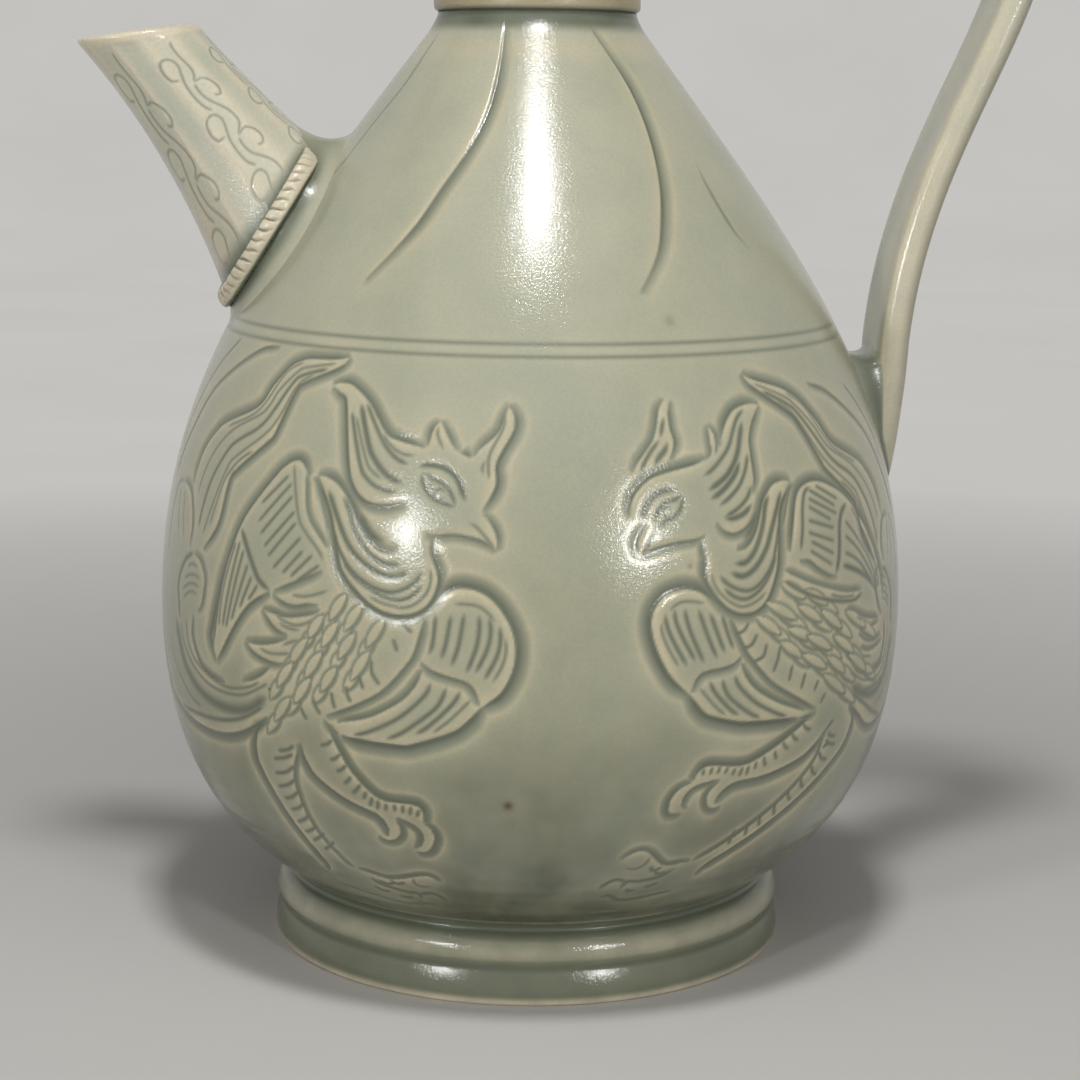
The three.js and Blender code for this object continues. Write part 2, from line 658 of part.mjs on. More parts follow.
const pieces = [
  ["body", geometryFrom(bodySolid()), GLAZE],
  ["foot_ring", footGeometry(), POOLED_GLAZE],
  ["neck_collar", collarGeometry(), THIN_GLAZE],
  ["neck_and_mouth", neckGeometry(), GLAZE],
  ["spout", spoutGeometry(), GLAZE],
  ["spout_root", geometryFrom(spoutRootSolid().subtract(seat)), POOLED_GLAZE],
  ["spout_rope", ropeGeometry(), THIN_GLAZE],
  ["handle_strap", handleStrapGeometry(), THIN_GLAZE],
  ["handle_lower_root", geometryFrom(lowerRootSolid().subtract(seat)), POOLED_GLAZE],
  ["handle_upper_root", geometryFrom(upperRootSolid().subtract(neckSeatSolid())), POOLED_GLAZE],
];

const ewer = new THREE.Group();
for (const [name, geometry, finish] of pieces) {
  const mesh = new THREE.Mesh(geometry, new THREE.MeshStandardMaterial(finish));
  mesh.name = name;
  ewer.add(mesh);
}

// The vessel's axis stands where spout and handle reach equally far from the origin.
const extent = new THREE.Box3().setFromObject(ewer);
ewer.position.x = -(extent.min.x + extent.max.x) / 2;

export default ewer;
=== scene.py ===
import math

import bpy
import numpy as np
from bpy.props import FloatProperty, FloatVectorProperty, IntProperty, PointerProperty
from bpy.types import Operator, Panel, PropertyGroup
from mathutils import Matrix, Vector


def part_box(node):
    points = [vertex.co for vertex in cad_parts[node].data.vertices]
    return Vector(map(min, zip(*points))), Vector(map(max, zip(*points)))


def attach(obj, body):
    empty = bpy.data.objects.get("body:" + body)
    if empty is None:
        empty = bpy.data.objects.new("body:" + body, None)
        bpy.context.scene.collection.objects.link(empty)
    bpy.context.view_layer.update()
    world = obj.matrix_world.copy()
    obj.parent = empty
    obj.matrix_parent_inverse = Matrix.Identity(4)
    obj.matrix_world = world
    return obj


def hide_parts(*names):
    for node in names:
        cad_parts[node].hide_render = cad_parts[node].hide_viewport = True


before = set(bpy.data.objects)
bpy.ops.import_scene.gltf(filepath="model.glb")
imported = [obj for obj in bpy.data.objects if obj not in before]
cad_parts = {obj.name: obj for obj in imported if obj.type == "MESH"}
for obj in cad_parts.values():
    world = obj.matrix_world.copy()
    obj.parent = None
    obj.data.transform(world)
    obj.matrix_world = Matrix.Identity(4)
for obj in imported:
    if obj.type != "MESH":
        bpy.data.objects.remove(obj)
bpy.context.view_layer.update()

bl_info = {
    "name": "Celadon Ewer",
    "version": (1, 0, 0),
    "blender": (4, 5, 0),
    "location": "View3D > Sidebar > Ewer",
    "description": "A carved celadon ewer with a faceted spout, a rope band and a strap handle",
    "category": "Add Mesh",
}

MM = 0.001
BODY_LOW, BODY_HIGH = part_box("body")
FOOT_LOW, FOOT_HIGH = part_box("foot_ring")
COLLAR_LOW, COLLAR_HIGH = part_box("neck_collar")
NECK_LOW, NECK_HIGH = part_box("neck_and_mouth")
TONGUE_LOW, TONGUE_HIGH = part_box("handle_lower_root")
AXIS_X = (COLLAR_LOW[0] + COLLAR_HIGH[0]) / 2


def length(name, default):
    """A size in metres that the user may change."""
    about = f"{name}, in metres"
    return FloatProperty(name=name, description=about, default=default, min=0.0, precision=5, unit="LENGTH")


def angle(name, degrees):
    """An angle that the user may change."""
    about = f"{name}, as an angle"
    return FloatProperty(name=name, description=about, default=math.radians(degrees), subtype="ANGLE")


def share(name, default):
    """A plain ratio that the user may change."""
    return FloatProperty(name=name, description=f"{name}, as a ratio", default=default, min=0.0, max=4.0)


def amount(name, unit, default):
    """A plain number that the user may change."""
    return FloatProperty(name=name, description=f"{name}, in {unit}", default=default, min=0.0)


def count(name, default):
    """A whole number that the user may change."""
    return IntProperty(name=name, description=f"{name}, as a whole number", default=default, min=3, max=90)


def linear(red, green, blue):
    """A colour written in screen values from 0 to 255, as the linear colour that Blender keeps."""
    values = [channel / 255 for channel in (red, green, blue)]
    return [v / 12.92 if v <= 0.04045 else ((v + 0.055) / 1.055) ** 2.4 for v in values]


def colour(name, red, green, blue):
    """A glaze or clay colour that the user may change."""
    about = f"{name}, as a colour"
    shade = linear(red, green, blue)
    return FloatVectorProperty(
        name=name, description=about, default=shade, size=3, min=0.0, max=1.0, subtype="COLOR")


class EwerBodySizes(PropertyGroup):
    """Sizes of the thrown body and of its double line."""

    joint_radius: length("Radius where the body meets its foot", 48 * MM)
    joint_height: length("Height where the body meets its foot", BODY_LOW[2])
    joint_rise: angle("Slope of the body just above its foot", 36)
    belly_radius: length("Widest radius", (BODY_HIGH[1] - BODY_LOW[1]) / 2)
    belly_height: length("Height of the widest part", 69 * MM)
    cone_radius: length("Radius at the top of the shoulder cone", 22 * MM)
    cone_height: length("Height of the top of the shoulder cone", 180 * MM)
    cone_taper: angle("Slope of the shoulder cone from upright", 37.2)
    throat_radius: length("Radius under the neck", 19.4 * MM)
    throat_height: length("Height of the body's top edge", BODY_HIGH[2])
    lower_start: share("Reach of the lower curve at the foot", 0.18)
    lower_end: share("Reach of the lower curve at the belly", 0.7)
    upper_start: share("Reach of the upper curve at the belly", 0.39)
    upper_end: share("Reach of the upper curve at the cone", 0.47)
    wall: length("Thickness of the body's wall", 4.5 * MM)
    floor: length("Thickness of the body's floor", 6 * MM)
    line_height: length("Height of the upper incised line", 126 * MM)
    line_spacing: length("Distance between the two incised lines", 2.15 * MM)
    line_width: length("Width of an incised line", 0.9 * MM)
    line_depth: length("Depth of an incised line", 0.26 * MM)
    front_step: angle("Spacing of the mesh across the front", 0.27)
    back_step: angle("Spacing of the mesh across the back", 0.55)
    row_step: length("Spacing of the mesh up the carved belly", 0.34 * MM)


class EwerFootSizes(PropertyGroup):
    """Sizes of the turned foot ring."""

    radius: length("Outer radius of the foot", (FOOT_HIGH[1] - FOOT_LOW[1]) / 2)
    height: length("Height of the foot", FOOT_HIGH[2])
    standing_width: length("Width of the ring that stands on the table", 6 * MM)
    top_width: length("Width of the ring under the body", 7 * MM)
    edge: length("Rounding of the lower edge", 1 * MM)
    groove_height: length("Height of the groove's bottom", 6.7 * MM)
    groove_depth: length("Depth of the groove", 1.3 * MM)
    groove_width: length("Half of the groove's width", 1.6 * MM)
    moulding_inset: length("How far the upper moulding stands in", 0.5 * MM)
    moulding_height: length("Height of the upper moulding's fullest place", 9.2 * MM)


class EwerNeckSizes(PropertyGroup):
    """Sizes of the neck, its mouth and its string ring."""

    base_radius: length("Radius of the neck at the throat", 18.4 * MM)
    waist_radius: length("Narrowest radius of the neck", 16.4 * MM)
    waist_rise: length("Height of the narrowest place over the throat", 22 * MM)
    mouth_radius: length("Radius of the mouth", (NECK_HIGH[1] - NECK_LOW[1]) / 2)
    mouth_height: length("Height of the rim", NECK_HIGH[2])
    splay: angle("Slope of the mouth at its rim", 42)
    curve: share("Reach of the neck's curves", 0.45)
    wall: length("Thickness of the neck's wall", 3.8 * MM)
    lip: length("Height of the rounded lip", 2.4 * MM)
    collar_radius: length("Radius of the string ring", (COLLAR_HIGH[1] - COLLAR_LOW[1]) / 2)
    collar_height: length("Height of the string ring", COLLAR_HIGH[2] - COLLAR_LOW[2])


class EwerSpoutSizes(PropertyGroup):
    """Sizes of the faceted spout, its root and the rope laid round it."""

    foot_height: length("Height where the spout's axis leaves the shoulder", 143.26 * MM)
    rise: angle("Slope of the spout's axis", 54)
    length: length("Length of the spout's axis", 47 * MM)
    bend: length("How far the axis bends outward", 1.6 * MM)
    root_radius: length("Radius at the shoulder", 16.6 * MM)
    mouth_radius: length("Radius at the lip", 10 * MM)
    taper: share("Power of the flare to the root", 1.9)
    wall: length("Thickness of the spout's wall", 3 * MM)
    lip: length("Rounding of the lip", 1.2 * MM)
    cut_drop: angle("Slope of the cut mouth from level", 8.1)
    facets: count("Number of facets", 12)
    sag: share("How far a facet's middle lies in, as a share of the radius", 0.02)
    root_distance: length("Where the rope's plane crosses the axis", 3.3 * MM)
    root_slope: angle("Slope of the rope's plane", 30.42)
    flare: length("How far the root flares on the shoulder", 2.4 * MM)
    crotch_fill: length("How much further the root flares in the crotch", 7.2 * MM)
    crotch_rise: length("How far up the spout the clay in the crotch starts", 7.5 * MM)
    rope_width: length("Width of the rope", 3.8 * MM)
    rope_height: length("Height of the rope", 1.7 * MM)
    notches: count("Number of notches in the rope", 50)
    notch_depth: length("Depth of a notch", 0.9 * MM)
    notch_slant: share("Lean of a notch, in notches", 0.7)


class EwerHandleSizes(PropertyGroup):
    """Sizes of the strap handle and its two roots."""

    width: length("Width of the strap", 20 * MM)
    thickness: length("Thickness of the strap", 6 * MM)
    foot_height: length("Height where the strap's curve starts", 110 * MM)
    foot_standoff: length("Distance of the strap's curve from the body there", 4.4 * MM)
    crotch_height: length("Height where the strap leaves the body", TONGUE_HIGH[2])
    crotch_round: length("Reach of the clay smoothed into the corner round the tongue", 2.8 * MM)
    tip_height: length("Height of the tongue's tip", TONGUE_LOW[2])
    tip_width: length("Width of the tongue's tip", 11 * MM)
    reach: length("Distance of the handle's middle from the axis at its furthest", 98.5 * MM)
    reach_height: length("Height of that place", 214 * MM)
    rise_start: share("Reach of the rising curve at its foot", 0.484)
    rise_end: share("Reach of the rising curve at its top", 0.335)
    arch_start: length("Reach of the arch at its foot", 27 * MM)
    arch_end: length("Reach of the arch at the neck", 48 * MM)
    neck_height: length("Height of the upper root", 229 * MM)
    neck_drop: angle("Slope of the strap at the neck", 24)
    neck_standoff: length("Length of the upper root", 7 * MM)
    pad_width: length("Width of the upper root on the neck", 25 * MM)
    pad_thickness: length("Thickness of the upper root on the neck", 12 * MM)


class EwerGlaze(PropertyGroup):
    """Colours of the glaze and of what shows through it."""

    # The body glaze runs from the shoulder colour down to the low belly colour: partly thicker glaze lower
    # down, partly painted shade of the light from above
    high: colour("Glaze on the shoulder", 184, 183, 160)
    low: colour("Glaze on the low belly", 143, 147, 123)
    cool: colour("Greyer clouds in the glaze", 158, 164, 146)
    # Painted shade on the low belly by the foot, partly glaze gathered there
    foot: colour("Glaze gathered near the foot", 58, 61, 49)
    ring: colour("Glaze on the foot ring", 126, 132, 110)
    pooled: colour("Glaze pooled in the cuts", 92, 100, 84)
    thin: colour("Glaze thin over the edges", 206, 196, 164)
    lip: colour("Bare, pale edges of the spout and the mouth", 228, 216, 190)
    spout: colour("Glaze on the spout", 206, 203, 182)
    blue: colour("Bluer clouds on the spout and the handle", 172, 186, 176)
    # Tan of glaze thin over the ring, set darker partly as painted shade
    collar: colour("Tan glaze on the string ring", 176, 162, 132)
    spot: colour("Iron spots", 84, 62, 40)
    line_spot: colour("Fine dark specks", 120, 118, 98)


class EwerStage(PropertyGroup):
    """The floor, the lamps and the camera."""

    floor: colour("Floor and backdrop", 214, 212, 208)
    camera_distance: length("Distance of the camera from the ewer's axis", 501.1 * MM)
    camera_height: length("Height of the camera", 171 * MM)
    camera_pitch: angle("How far the camera looks down", 10.28)
    camera_turn: angle("How far the ewer is turned from the camera", 5.5)
    camera_roll: angle("Roll of the camera", 0.69)
    focal_pixels: amount("Focal length", "pixels of the picture", 2509.0)
    picture_pixels: amount("Width of the square picture", "pixels", 1080.0)
    shift_pixels: amount("How far the optical axis lies left of the middle", "pixels of the picture", 9.2)
    top_power: amount("Power of the top softbox", "watts", 3.3)
    side_power: amount("Power of each side lamp", "watts", 2.6)
    sky_power: amount("Power of the sky panel", "watts", 4.6)
    sky: amount("Strength of the even light", "watts a square metre", 0.1)
    backdrop: amount("Brightness of the far floor and the backdrop", "shares of white", 0.84)


GROUPS = {
    "ewer_body": EwerBodySizes,
    "ewer_foot": EwerFootSizes,
    "ewer_neck": EwerNeckSizes,
    "ewer_spout": EwerSpoutSizes,
    "ewer_handle": EwerHandleSizes,
    "ewer_glaze": EwerGlaze,
    "ewer_stage": EwerStage,
}

# Drawing sheets: the corner, in pixels of the picture, of each enlarged view that strokes were drawn on,
# and its enlargement
SHEETS = {
    "tail": (150, 330, 5.807),
    "head": (300, 360, 6.031),
    "tail_root": (150, 560, 5.807),
    "front_wing": (300, 560, 6.031),
    "legs": (230, 720, 6.272),
    "ruff": (300, 450, 8.253),
    "back_wing": (160, 430, 7.127),
    "flank": (180, 540, 8.711),
    "breast": (225, 600, 8.711),
    "whole": (0, 0, 1.0),
}

# Knives: depth, width of the slope or groove, and how far the cut takes to run out at its ends, all in
# millimetres
KNIVES = {
    "lobe": (1.15, 3.1, 4.0),
    "edge": (1.0, 2.4, 4.0),
    "low_edge": (0.9, 1.9, 3.5),
    "small_edge": (0.8, 1.6, 2.5),
    "hollow": (0.35, 2.8, 3.0),
    "deep_cut": (0.46, 1.4, 2.2),
    "cut": (0.38, 1.1, 1.8),
    "fine": (0.3, 0.8, 1.6),
    "hatch": (0.36, 0.9, 0.9),
    "tick": (0.38, 0.95, 0.7),
    "vine": (0.2, 0.75, 1.0),
    "leaf_vein": (0.25, 1.3, 8.0),
    "leaf": (0.95, 3.0, 16.0),
}

# How a knife moves: its step along a stroke, how many steps are cut at a time, and the largest share of a
# stroke that one end takes to run out
KNIFE_STEP = 0.9 * MM
STEPS_AT_A_TIME = 6
LONGEST_RUN_OUT = 0.45

# Knife strokes of the left bird: drawing sheet, knife, the side that slopes down to the stroke (1 left of
# its course, -1 right of it, 0 both), and the strokes as points on the sheet, across and down in turn
BIRD_STROKES = {
    "crest_back": ("head", "edge", -1, (
        (192, 158, 245, 205, 278, 262, 290, 620, 305, 720, 335, 790, 372, 835, 425, 865, 500, 878,
        650, 860),)),
    "crest_top": ("head", "edge", 1, (
        (190, 152, 225, 132, 280, 130, 335, 155, 425, 255, 515, 425, 575, 470, 765, 528),)),
    "horn_back": ("head", "low_edge", 1, ((765, 528, 798, 415, 850, 352),)),
    "horn_front": ("head", "low_edge", 1, ((850, 352, 925, 510, 965, 553),)),
    "brow_top": ("head", "low_edge", 1, ((960, 550, 1005, 572, 1045, 590),)),
    "plume_back": ("head", "low_edge", 1, ((1045, 590, 1075, 540, 1180, 445, 1215, 385, 1256, 262),)),
    "plume_front": ("head", "edge", 1, (
        (1256, 262, 1290, 310, 1302, 370, 1288, 440, 1190, 620, 1185, 760, 1098, 925),)),
    "beak_top": ("head", "low_edge", 1, ((1098, 925, 1140, 960, 1190, 1060, 1194, 1165),)),
    "mouth": ("head", "low_edge", 1, ((1194, 1165, 1095, 1092, 940, 1057, 800, 1062, 750, 1040),)),
    "crest_cut_deep": ("head", "deep_cut", 0, (
        (368, 255, 415, 520, 450, 600, 500, 670, 560, 718, 625, 742),)),
    "crest_cut": ("head", "cut", 0, (
        (312, 300, 362, 630, 395, 705, 450, 758, 520, 788, 590, 795), (400, 250, 490, 470, 535, 545,
        590, 600, 660, 632),)),
    "crest_cut_fine": ("head", "fine", 0, (
        (338, 330, 400, 610, 440, 675, 495, 722), (490, 430, 530, 495, 580, 545, 640, 572, 700, 575),)),
    "brow": ("head", "deep_cut", 0, ((712, 645, 770, 632, 840, 640, 905, 672, 955, 730, 1000, 860),)),
    "lid_top": ("head", "cut", 0, ((748, 672, 800, 715, 860, 745, 905, 790, 942, 890),)),
    "lid_low": ("head", "cut", 0, ((748, 672, 735, 725, 765, 790, 820, 845, 942, 890),)),
    "pupil": ("head", "fine", 0, (
        (875, 812, 866, 838, 840, 846, 815, 832, 808, 806, 824, 782, 850, 778, 870, 790, 875, 812),)),
    "eye_fill": ("head", "fine", 0, ((765, 710, 790, 770, 830, 800),)),
    "plume_mid": ("head", "fine", 0, (
        (1244, 330, 1222, 420, 1148, 560, 1135, 640, 1142, 730), (1120, 600, 1100, 650, 1105, 700),)),
    "horn_mid": ("head", "fine", 0, ((838, 390, 830, 450, 868, 548),)),
    "beak_cut": ("head", "fine", 0, ((1010, 985, 1065, 1008, 1185, 1150),)),
    "ruff_back": ("ruff", "edge", -1, (
        (140, 203, 250, 520, 318, 920, 360, 1030, 430, 1130, 520, 1230, 620, 1310, 740, 1360, 860, 1370,
        960, 1350, 1050, 1290, 1110, 1200, 1140, 1100, 1135, 1000, 1080, 850, 1075, 770),)),
    "ruff_top": ("ruff", "edge", 1, (
        (140, 203, 200, 203, 270, 238, 330, 290, 420, 440, 495, 640, 550, 730, 620, 800, 700, 840,
        790, 840),)),
    "ruff_cut_deep": ("ruff", "deep_cut", 0, (
        (232, 320, 360, 700, 430, 830, 510, 920, 600, 990, 700, 1040, 800, 1050, 900, 1000), (350, 370,
        400, 480, 430, 600, 480, 720, 560, 840, 650, 920, 740, 955, 840, 940),)),
    "ruff_cut": ("ruff", "cut", 0, (
        (275, 640, 300, 760, 350, 880, 420, 990, 520, 1080, 620, 1140, 740, 1175, 860, 1150, 960, 1080,
        1010, 1000), (345, 900, 400, 985, 480, 1075, 590, 1160, 700, 1215, 820, 1240, 930, 1200,
        1010, 1110),)),
    "ruff_cut_fine": ("ruff", "fine", 0, (
        (560, 1200, 660, 1255, 770, 1290, 880, 1300, 980, 1250, 1050, 1170, 1080, 1070, 1075, 970),)),
    "throat_pool": ("ruff", "hollow", 0, ((470, 480, 530, 620, 610, 720, 720, 760),)),
    "throat_edge": ("ruff", "small_edge", 1, ((1075, 700, 1088, 780, 1108, 900),)),
    "wing_back": ("back_wing", "edge", 1, (
        (375, 1560, 440, 1080, 510, 830, 610, 600, 830, 310, 890, 250, 950, 212, 1005, 213, 1045, 275,
        1068, 340),)),
    "wing_rim": ("back_wing", "fine", 0, ((955, 232, 985, 600, 1020, 700, 1130, 860, 1165, 940),)),
    "wing_rim_front": ("back_wing", "small_edge", 1, (
        (1046, 300, 1042, 500, 1052, 590, 1090, 680, 1200, 850),)),
    "neck_leaf": ("back_wing", "small_edge", 1, ((1085, 330, 1130, 420, 1205, 760),)),
    "wing_hatch": ("back_wing", "hatch", 0, (
        (722, 525, 925, 318), (700, 655, 945, 375), (712, 745, 950, 465), (738, 835, 965, 575),
        (765, 905, 975, 655), (800, 990, 1010, 760), (868, 1025, 1025, 855), (925, 1050, 1090, 888),
        (960, 1085, 1142, 960),)),
    "wing_foot": ("back_wing", "low_edge", -1, ((800, 1150, 1165, 1000),)),
    "wing_panel": ("back_wing", "deep_cut", 0, ((578, 690, 670, 990, 712, 1080, 785, 1148),)),
    "wing_long": ("back_wing", "hatch", 0, (
        (540, 790, 445, 1140, 415, 1400), (572, 790, 465, 1260, 445, 1400), (598, 850, 468, 1410),
        (628, 950, 506, 1360), (655, 1040, 565, 1270), (700, 1095, 665, 1155, 622, 1215),)),
    "wing_under": ("flank", "edge", 1, ((790, 448, 620, 545, 500, 695, 318, 1062),)),
    "wing_tip_back": ("flank", "edge", -1, ((425, 100, 275, 760, 265, 860, 315, 1060),)),
    "tail1_top": ("tail", "edge", -1, (
        (1172, 150, 1080, 163, 930, 160, 870, 175, 815, 205, 715, 315, 625, 440, 462, 520, 400, 565,
        312, 692, 262, 840, 256, 900),)),
    "tail1_low": ("tail", "edge", 1, (
        (1172, 150, 1110, 212, 890, 305, 835, 365, 735, 575, 692, 640, 495, 815, 455, 880, 395, 1120,
        305, 1280),)),
    "tail1_cut_fine": ("tail", "fine", 0, (
        (1090, 193, 920, 215, 860, 240, 750, 350, 700, 430, 640, 490, 480, 580, 370, 710, 300, 870,
        280, 960), (960, 255, 900, 282, 840, 340, 702, 570, 502, 732, 442, 812, 305, 1190), (900, 185,
        835, 212, 775, 265, 630, 465, 450, 560), (600, 700, 530, 745, 470, 810, 425, 890, 345, 1140),)),
    "tail1_cut": ("tail", "cut", 0, (
        (1040, 222, 880, 265, 820, 320, 660, 540, 510, 640, 450, 700, 360, 860, 300, 1050, 283, 1150),)),
    "tail2": ("tail", "low_edge", 1, ((765, 93, 640, 112, 440, 260, 330, 400, 185, 720, 155, 850),)),
    "tail3": ("tail", "cut", 0, ((540, 40, 420, 180, 310, 360, 220, 570, 190, 670),)),
    "tail4_back": ("tail", "cut", 0, ((200, 865, 160, 920, 105, 1300),)),
    "tail4_front": ("tail", "low_edge", 1, ((200, 865, 235, 930, 245, 1100, 228, 1265),)),
    "tail4_cut": ("tail", "fine", 0, ((182, 910, 162, 1220), (207, 910, 192, 1220),)),
    "tail5_back": ("flank", "deep_cut", 0, ((120, 108, 60, 150, 20, 230, -5, 320, -15, 420, 0, 700),)),
    "tail5_front": ("flank", "low_edge", 1, (
        (120, 108, 170, 170, 200, 260, 212, 360, 185, 560, 150, 632),)),
    "tail5_arch": ("flank", "fine", 0, (
        (60, 232, 95, 206, 130, 215, 158, 250), (35, 335, 80, 302, 130, 306, 178, 342), (22, 425,
        70, 382, 120, 382, 168, 412), (25, 505, 75, 452, 120, 456, 152, 482),)),
    "root_low": ("tail_root", "edge", -1, (
        (75, 300, 118, 680, 145, 770, 190, 855, 245, 920, 310, 967, 380, 997, 450, 1010, 520, 1002,
        590, 972, 687, 910),)),
    "root_hollow": ("tail_root", "hollow", 0, (
        (150, 330, 195, 570, 235, 670, 290, 755, 360, 818, 440, 858, 520, 872, 590, 855, 680, 792),)),
    "root_cut_fine": ("tail_root", "fine", 0, (
        (175, 350, 195, 470, 225, 560, 270, 640, 330, 710, 400, 755, 480, 780, 560, 778, 690, 715),
        (205, 330, 222, 470, 252, 560, 298, 630, 358, 688, 430, 732, 500, 745, 580, 735, 640, 705),
        (118, 420, 155, 610, 240, 790, 300, 850),)),
    "root_cut": ("tail_root", "cut", 0, ((190, 840, 320, 905, 400, 925, 480, 928, 560, 908, 660, 850),)),
    "root_top": ("tail_root", "low_edge", -1, ((712, 598, 665, 650, 600, 690, 530, 705),)),
    "root_curl": ("tail_root", "low_edge", -1, (
        (440, 717, 380, 692, 330, 652, 285, 590, 242, 440, 250, 310),)),
    "spike0_low": ("flank", "low_edge", -1, (
        (800, 458, 860, 520, 930, 560, 1010, 577, 1100, 562, 1210, 568),)),
    "spike0_cut": ("flank", "fine", 0, ((960, 470, 1050, 490, 1150, 482, 1300, 440),)),
    "spike1_top": ("flank", "low_edge", 1, ((706, 588, 860, 650, 950, 667, 1150, 642, 1225, 600),)),
    "spike1_low": ("flank", "low_edge", -1, ((706, 588, 790, 730, 850, 790, 945, 840),)),
    "spike1_cut": ("flank", "fine", 0, (
        (820, 650, 900, 702, 1000, 742, 1100, 725, 1170, 680), (850, 715, 940, 765, 1050, 792),)),
    "spike2_top": ("flank", "low_edge", 1, ((562, 868, 640, 897, 740, 903, 840, 887, 940, 850),)),
    "spike2_low": ("flank", "low_edge", -1, (
        (562, 868, 600, 940, 660, 1000, 740, 1045, 830, 1077, 915, 1080),)),
    "spike2_cut": ("flank", "fine", 0, (
        (680, 932, 770, 982, 870, 993, 970, 985), (880, 920, 960, 890, 1045, 870),)),
    "breast": ("front_wing", "low_edge", 1, (
        (758, 340, 690, 560, 640, 640, 500, 790, 330, 880, 150, 945),)),
    "breast_cut": ("front_wing", "tick", 0, (
        (600, 350, 632, 400, 682, 442), (430, 600, 432, 680, 482, 758), (350, 690, 365, 740, 385, 785),
        (278, 755, 285, 820, 312, 862), (186, 790, 196, 850, 212, 905), (75, 830, 95, 890, 128, 935),
        (0, 880, 20, 930, 48, 968), (560, 470, 575, 520, 590, 560),)),
    "stand_back": ("legs", "edge", -1, (
        (245, 5, 175, 60, 160, 120, 162, 190, 185, 280, 340, 560, 590, 880, 625, 945),)),
    "stand_front": ("legs", "small_edge", 1, (
        (432, 165, 402, 340, 450, 520, 540, 690, 720, 890, 790, 930),)),
    "stand_ring": ("legs", "tick", 0, (
        (300, 192, 360, 187, 402, 160), (270, 242, 340, 237, 395, 215), (280, 332, 350, 327, 402, 290),
        (300, 417, 360, 407, 407, 375), (340, 492, 390, 482, 427, 450), (380, 562, 430, 552, 467, 520),
        (420, 642, 470, 622, 497, 590), (470, 705, 520, 685, 540, 660), (520, 760, 570, 730, 590, 705),
        (590, 815, 630, 790, 650, 760),)),
    "raised_back": ("legs", "edge", -1, (
        (440, 140, 450, 200, 490, 290, 550, 370, 720, 500, 900, 590, 955, 632, 988, 690, 985, 735),)),
    "raised_front": ("legs", "edge", 1, (
        (600, 20, 740, 290, 860, 430, 930, 485, 1010, 512, 1160, 532, 1207, 570, 1222, 620, 1215, 652),)),
    "toe_front": ("legs", "low_edge", 1, (
        (1215, 652, 1262, 680, 1290, 740, 1275, 800, 1232, 838, 1165, 830),)),
    "toe_gap": ("legs", "small_edge", -1, ((1040, 610, 1170, 680, 1205, 740, 1190, 790, 1150, 802),)),
    "toe_back": ("legs", "small_edge", -1, (
        (930, 722, 960, 752, 1010, 764, 1055, 748, 1078, 700, 1040, 612),)),
    "raised_ring": ("legs", "tick", 0, (
        (560, 160, 610, 152, 640, 122), (620, 252, 660, 242, 692, 212), (660, 322, 700, 312, 728, 280),
        (710, 402, 740, 382, 758, 350), (765, 462, 800, 432, 817, 402), (832, 500, 846, 475, 850, 445),
        (872, 545, 886, 515, 888, 480), (920, 565, 928, 535, 925, 500), (972, 575, 978, 545, 975, 520),
        (1032, 580, 1032, 550, 1027, 525), (1078, 590, 1084, 560, 1080, 530), (1122, 602, 1132, 570,
        1130, 540), (1166, 612, 1180, 585, 1178, 560),)),
    "claw_top": ("legs", "small_edge", 1, (
        (795, 930, 970, 990, 1060, 997, 1200, 977, 1270, 987, 1325, 1022),)),
    "claw_toe": ("legs", "fine", 0, ((1150, 992, 1155, 1025, 1205, 1046, 1275, 1046),)),
    "claw_mid": ("legs", "cut", 0, ((880, 982, 950, 1032, 1110, 1080, 1180, 1088, 1205, 1120),)),
    "claw_low": ("legs", "cut", 0, ((690, 1020, 1080, 1142, 1240, 1150, 1315, 1168),)),
    "claw_tip": ("legs", "cut", 0, ((1180, 1096, 1260, 1090, 1320, 1110, 1362, 1140),)),
    "claw_scale": ("legs", "tick", 0, (
        (930, 1005, 985, 1030, 1030, 1025), (1000, 1005, 1050, 1030, 1100, 1020), (900, 1040, 960, 1070,
        1010, 1075), (1060, 1100, 1110, 1115, 1150, 1110),)),
    "lobe1_edge": ("front_wing", "lobe", 1, (
        (830, 262, 880, 200, 940, 167, 1020, 168, 1100, 195, 1170, 245, 1230, 320, 1275, 400, 1302, 490,
        1307, 580, 1290, 670, 1255, 750, 1205, 820, 1090, 905),)),
    "lobe2_edge": ("front_wing", "lobe", 1, (
        (1110, 885, 980, 1010, 900, 1055, 700, 1115, 600, 1125, 310, 1080, 240, 1055),)),
    "lobe_split": ("front_wing", "low_edge", -1, (
        (720, 608, 780, 665, 860, 700, 1000, 745, 1050, 795, 1082, 888),)),
    "lobe1_rim": ("front_wing", "fine", 0, ((920, 262, 1060, 275, 1130, 318, 1180, 380),)),
    "lobe1_cut": ("front_wing", "cut", 0, (
        (820, 320, 800, 500, 775, 578), (912, 325, 880, 500, 848, 605), (992, 315, 955, 520, 908, 650),
        (1080, 325, 1080, 430, 1060, 540, 1000, 690), (1140, 340, 1150, 440, 1125, 550, 1055, 690),
        (1205, 395, 1208, 500, 1180, 600, 1108, 730),)),
    "lobe1_cut_fine": ("front_wing", "fine", 0, ((1240, 470, 1242, 560, 1215, 650, 1158, 745),)),
    "lobe2_top": ("front_wing", "low_edge", -1, (
        (735, 650, 700, 740, 640, 815, 560, 875, 400, 948, 215, 975),)),
    "lobe2_cut": ("front_wing", "cut", 0, (
        (790, 735, 750, 820, 600, 950, 420, 1035, 315, 1058), (882, 765, 850, 850, 790, 920, 620, 1040,
        515, 1083), (972, 785, 920, 870, 780, 1000, 690, 1055),)),
    "lobe2_cut_fine": ("front_wing", "fine", 0, ((1042, 835, 900, 970, 795, 1048),)),
    "lobe2_end": ("front_wing", "small_edge", -1, ((140, 955, 180, 1010, 242, 1057),)),
}

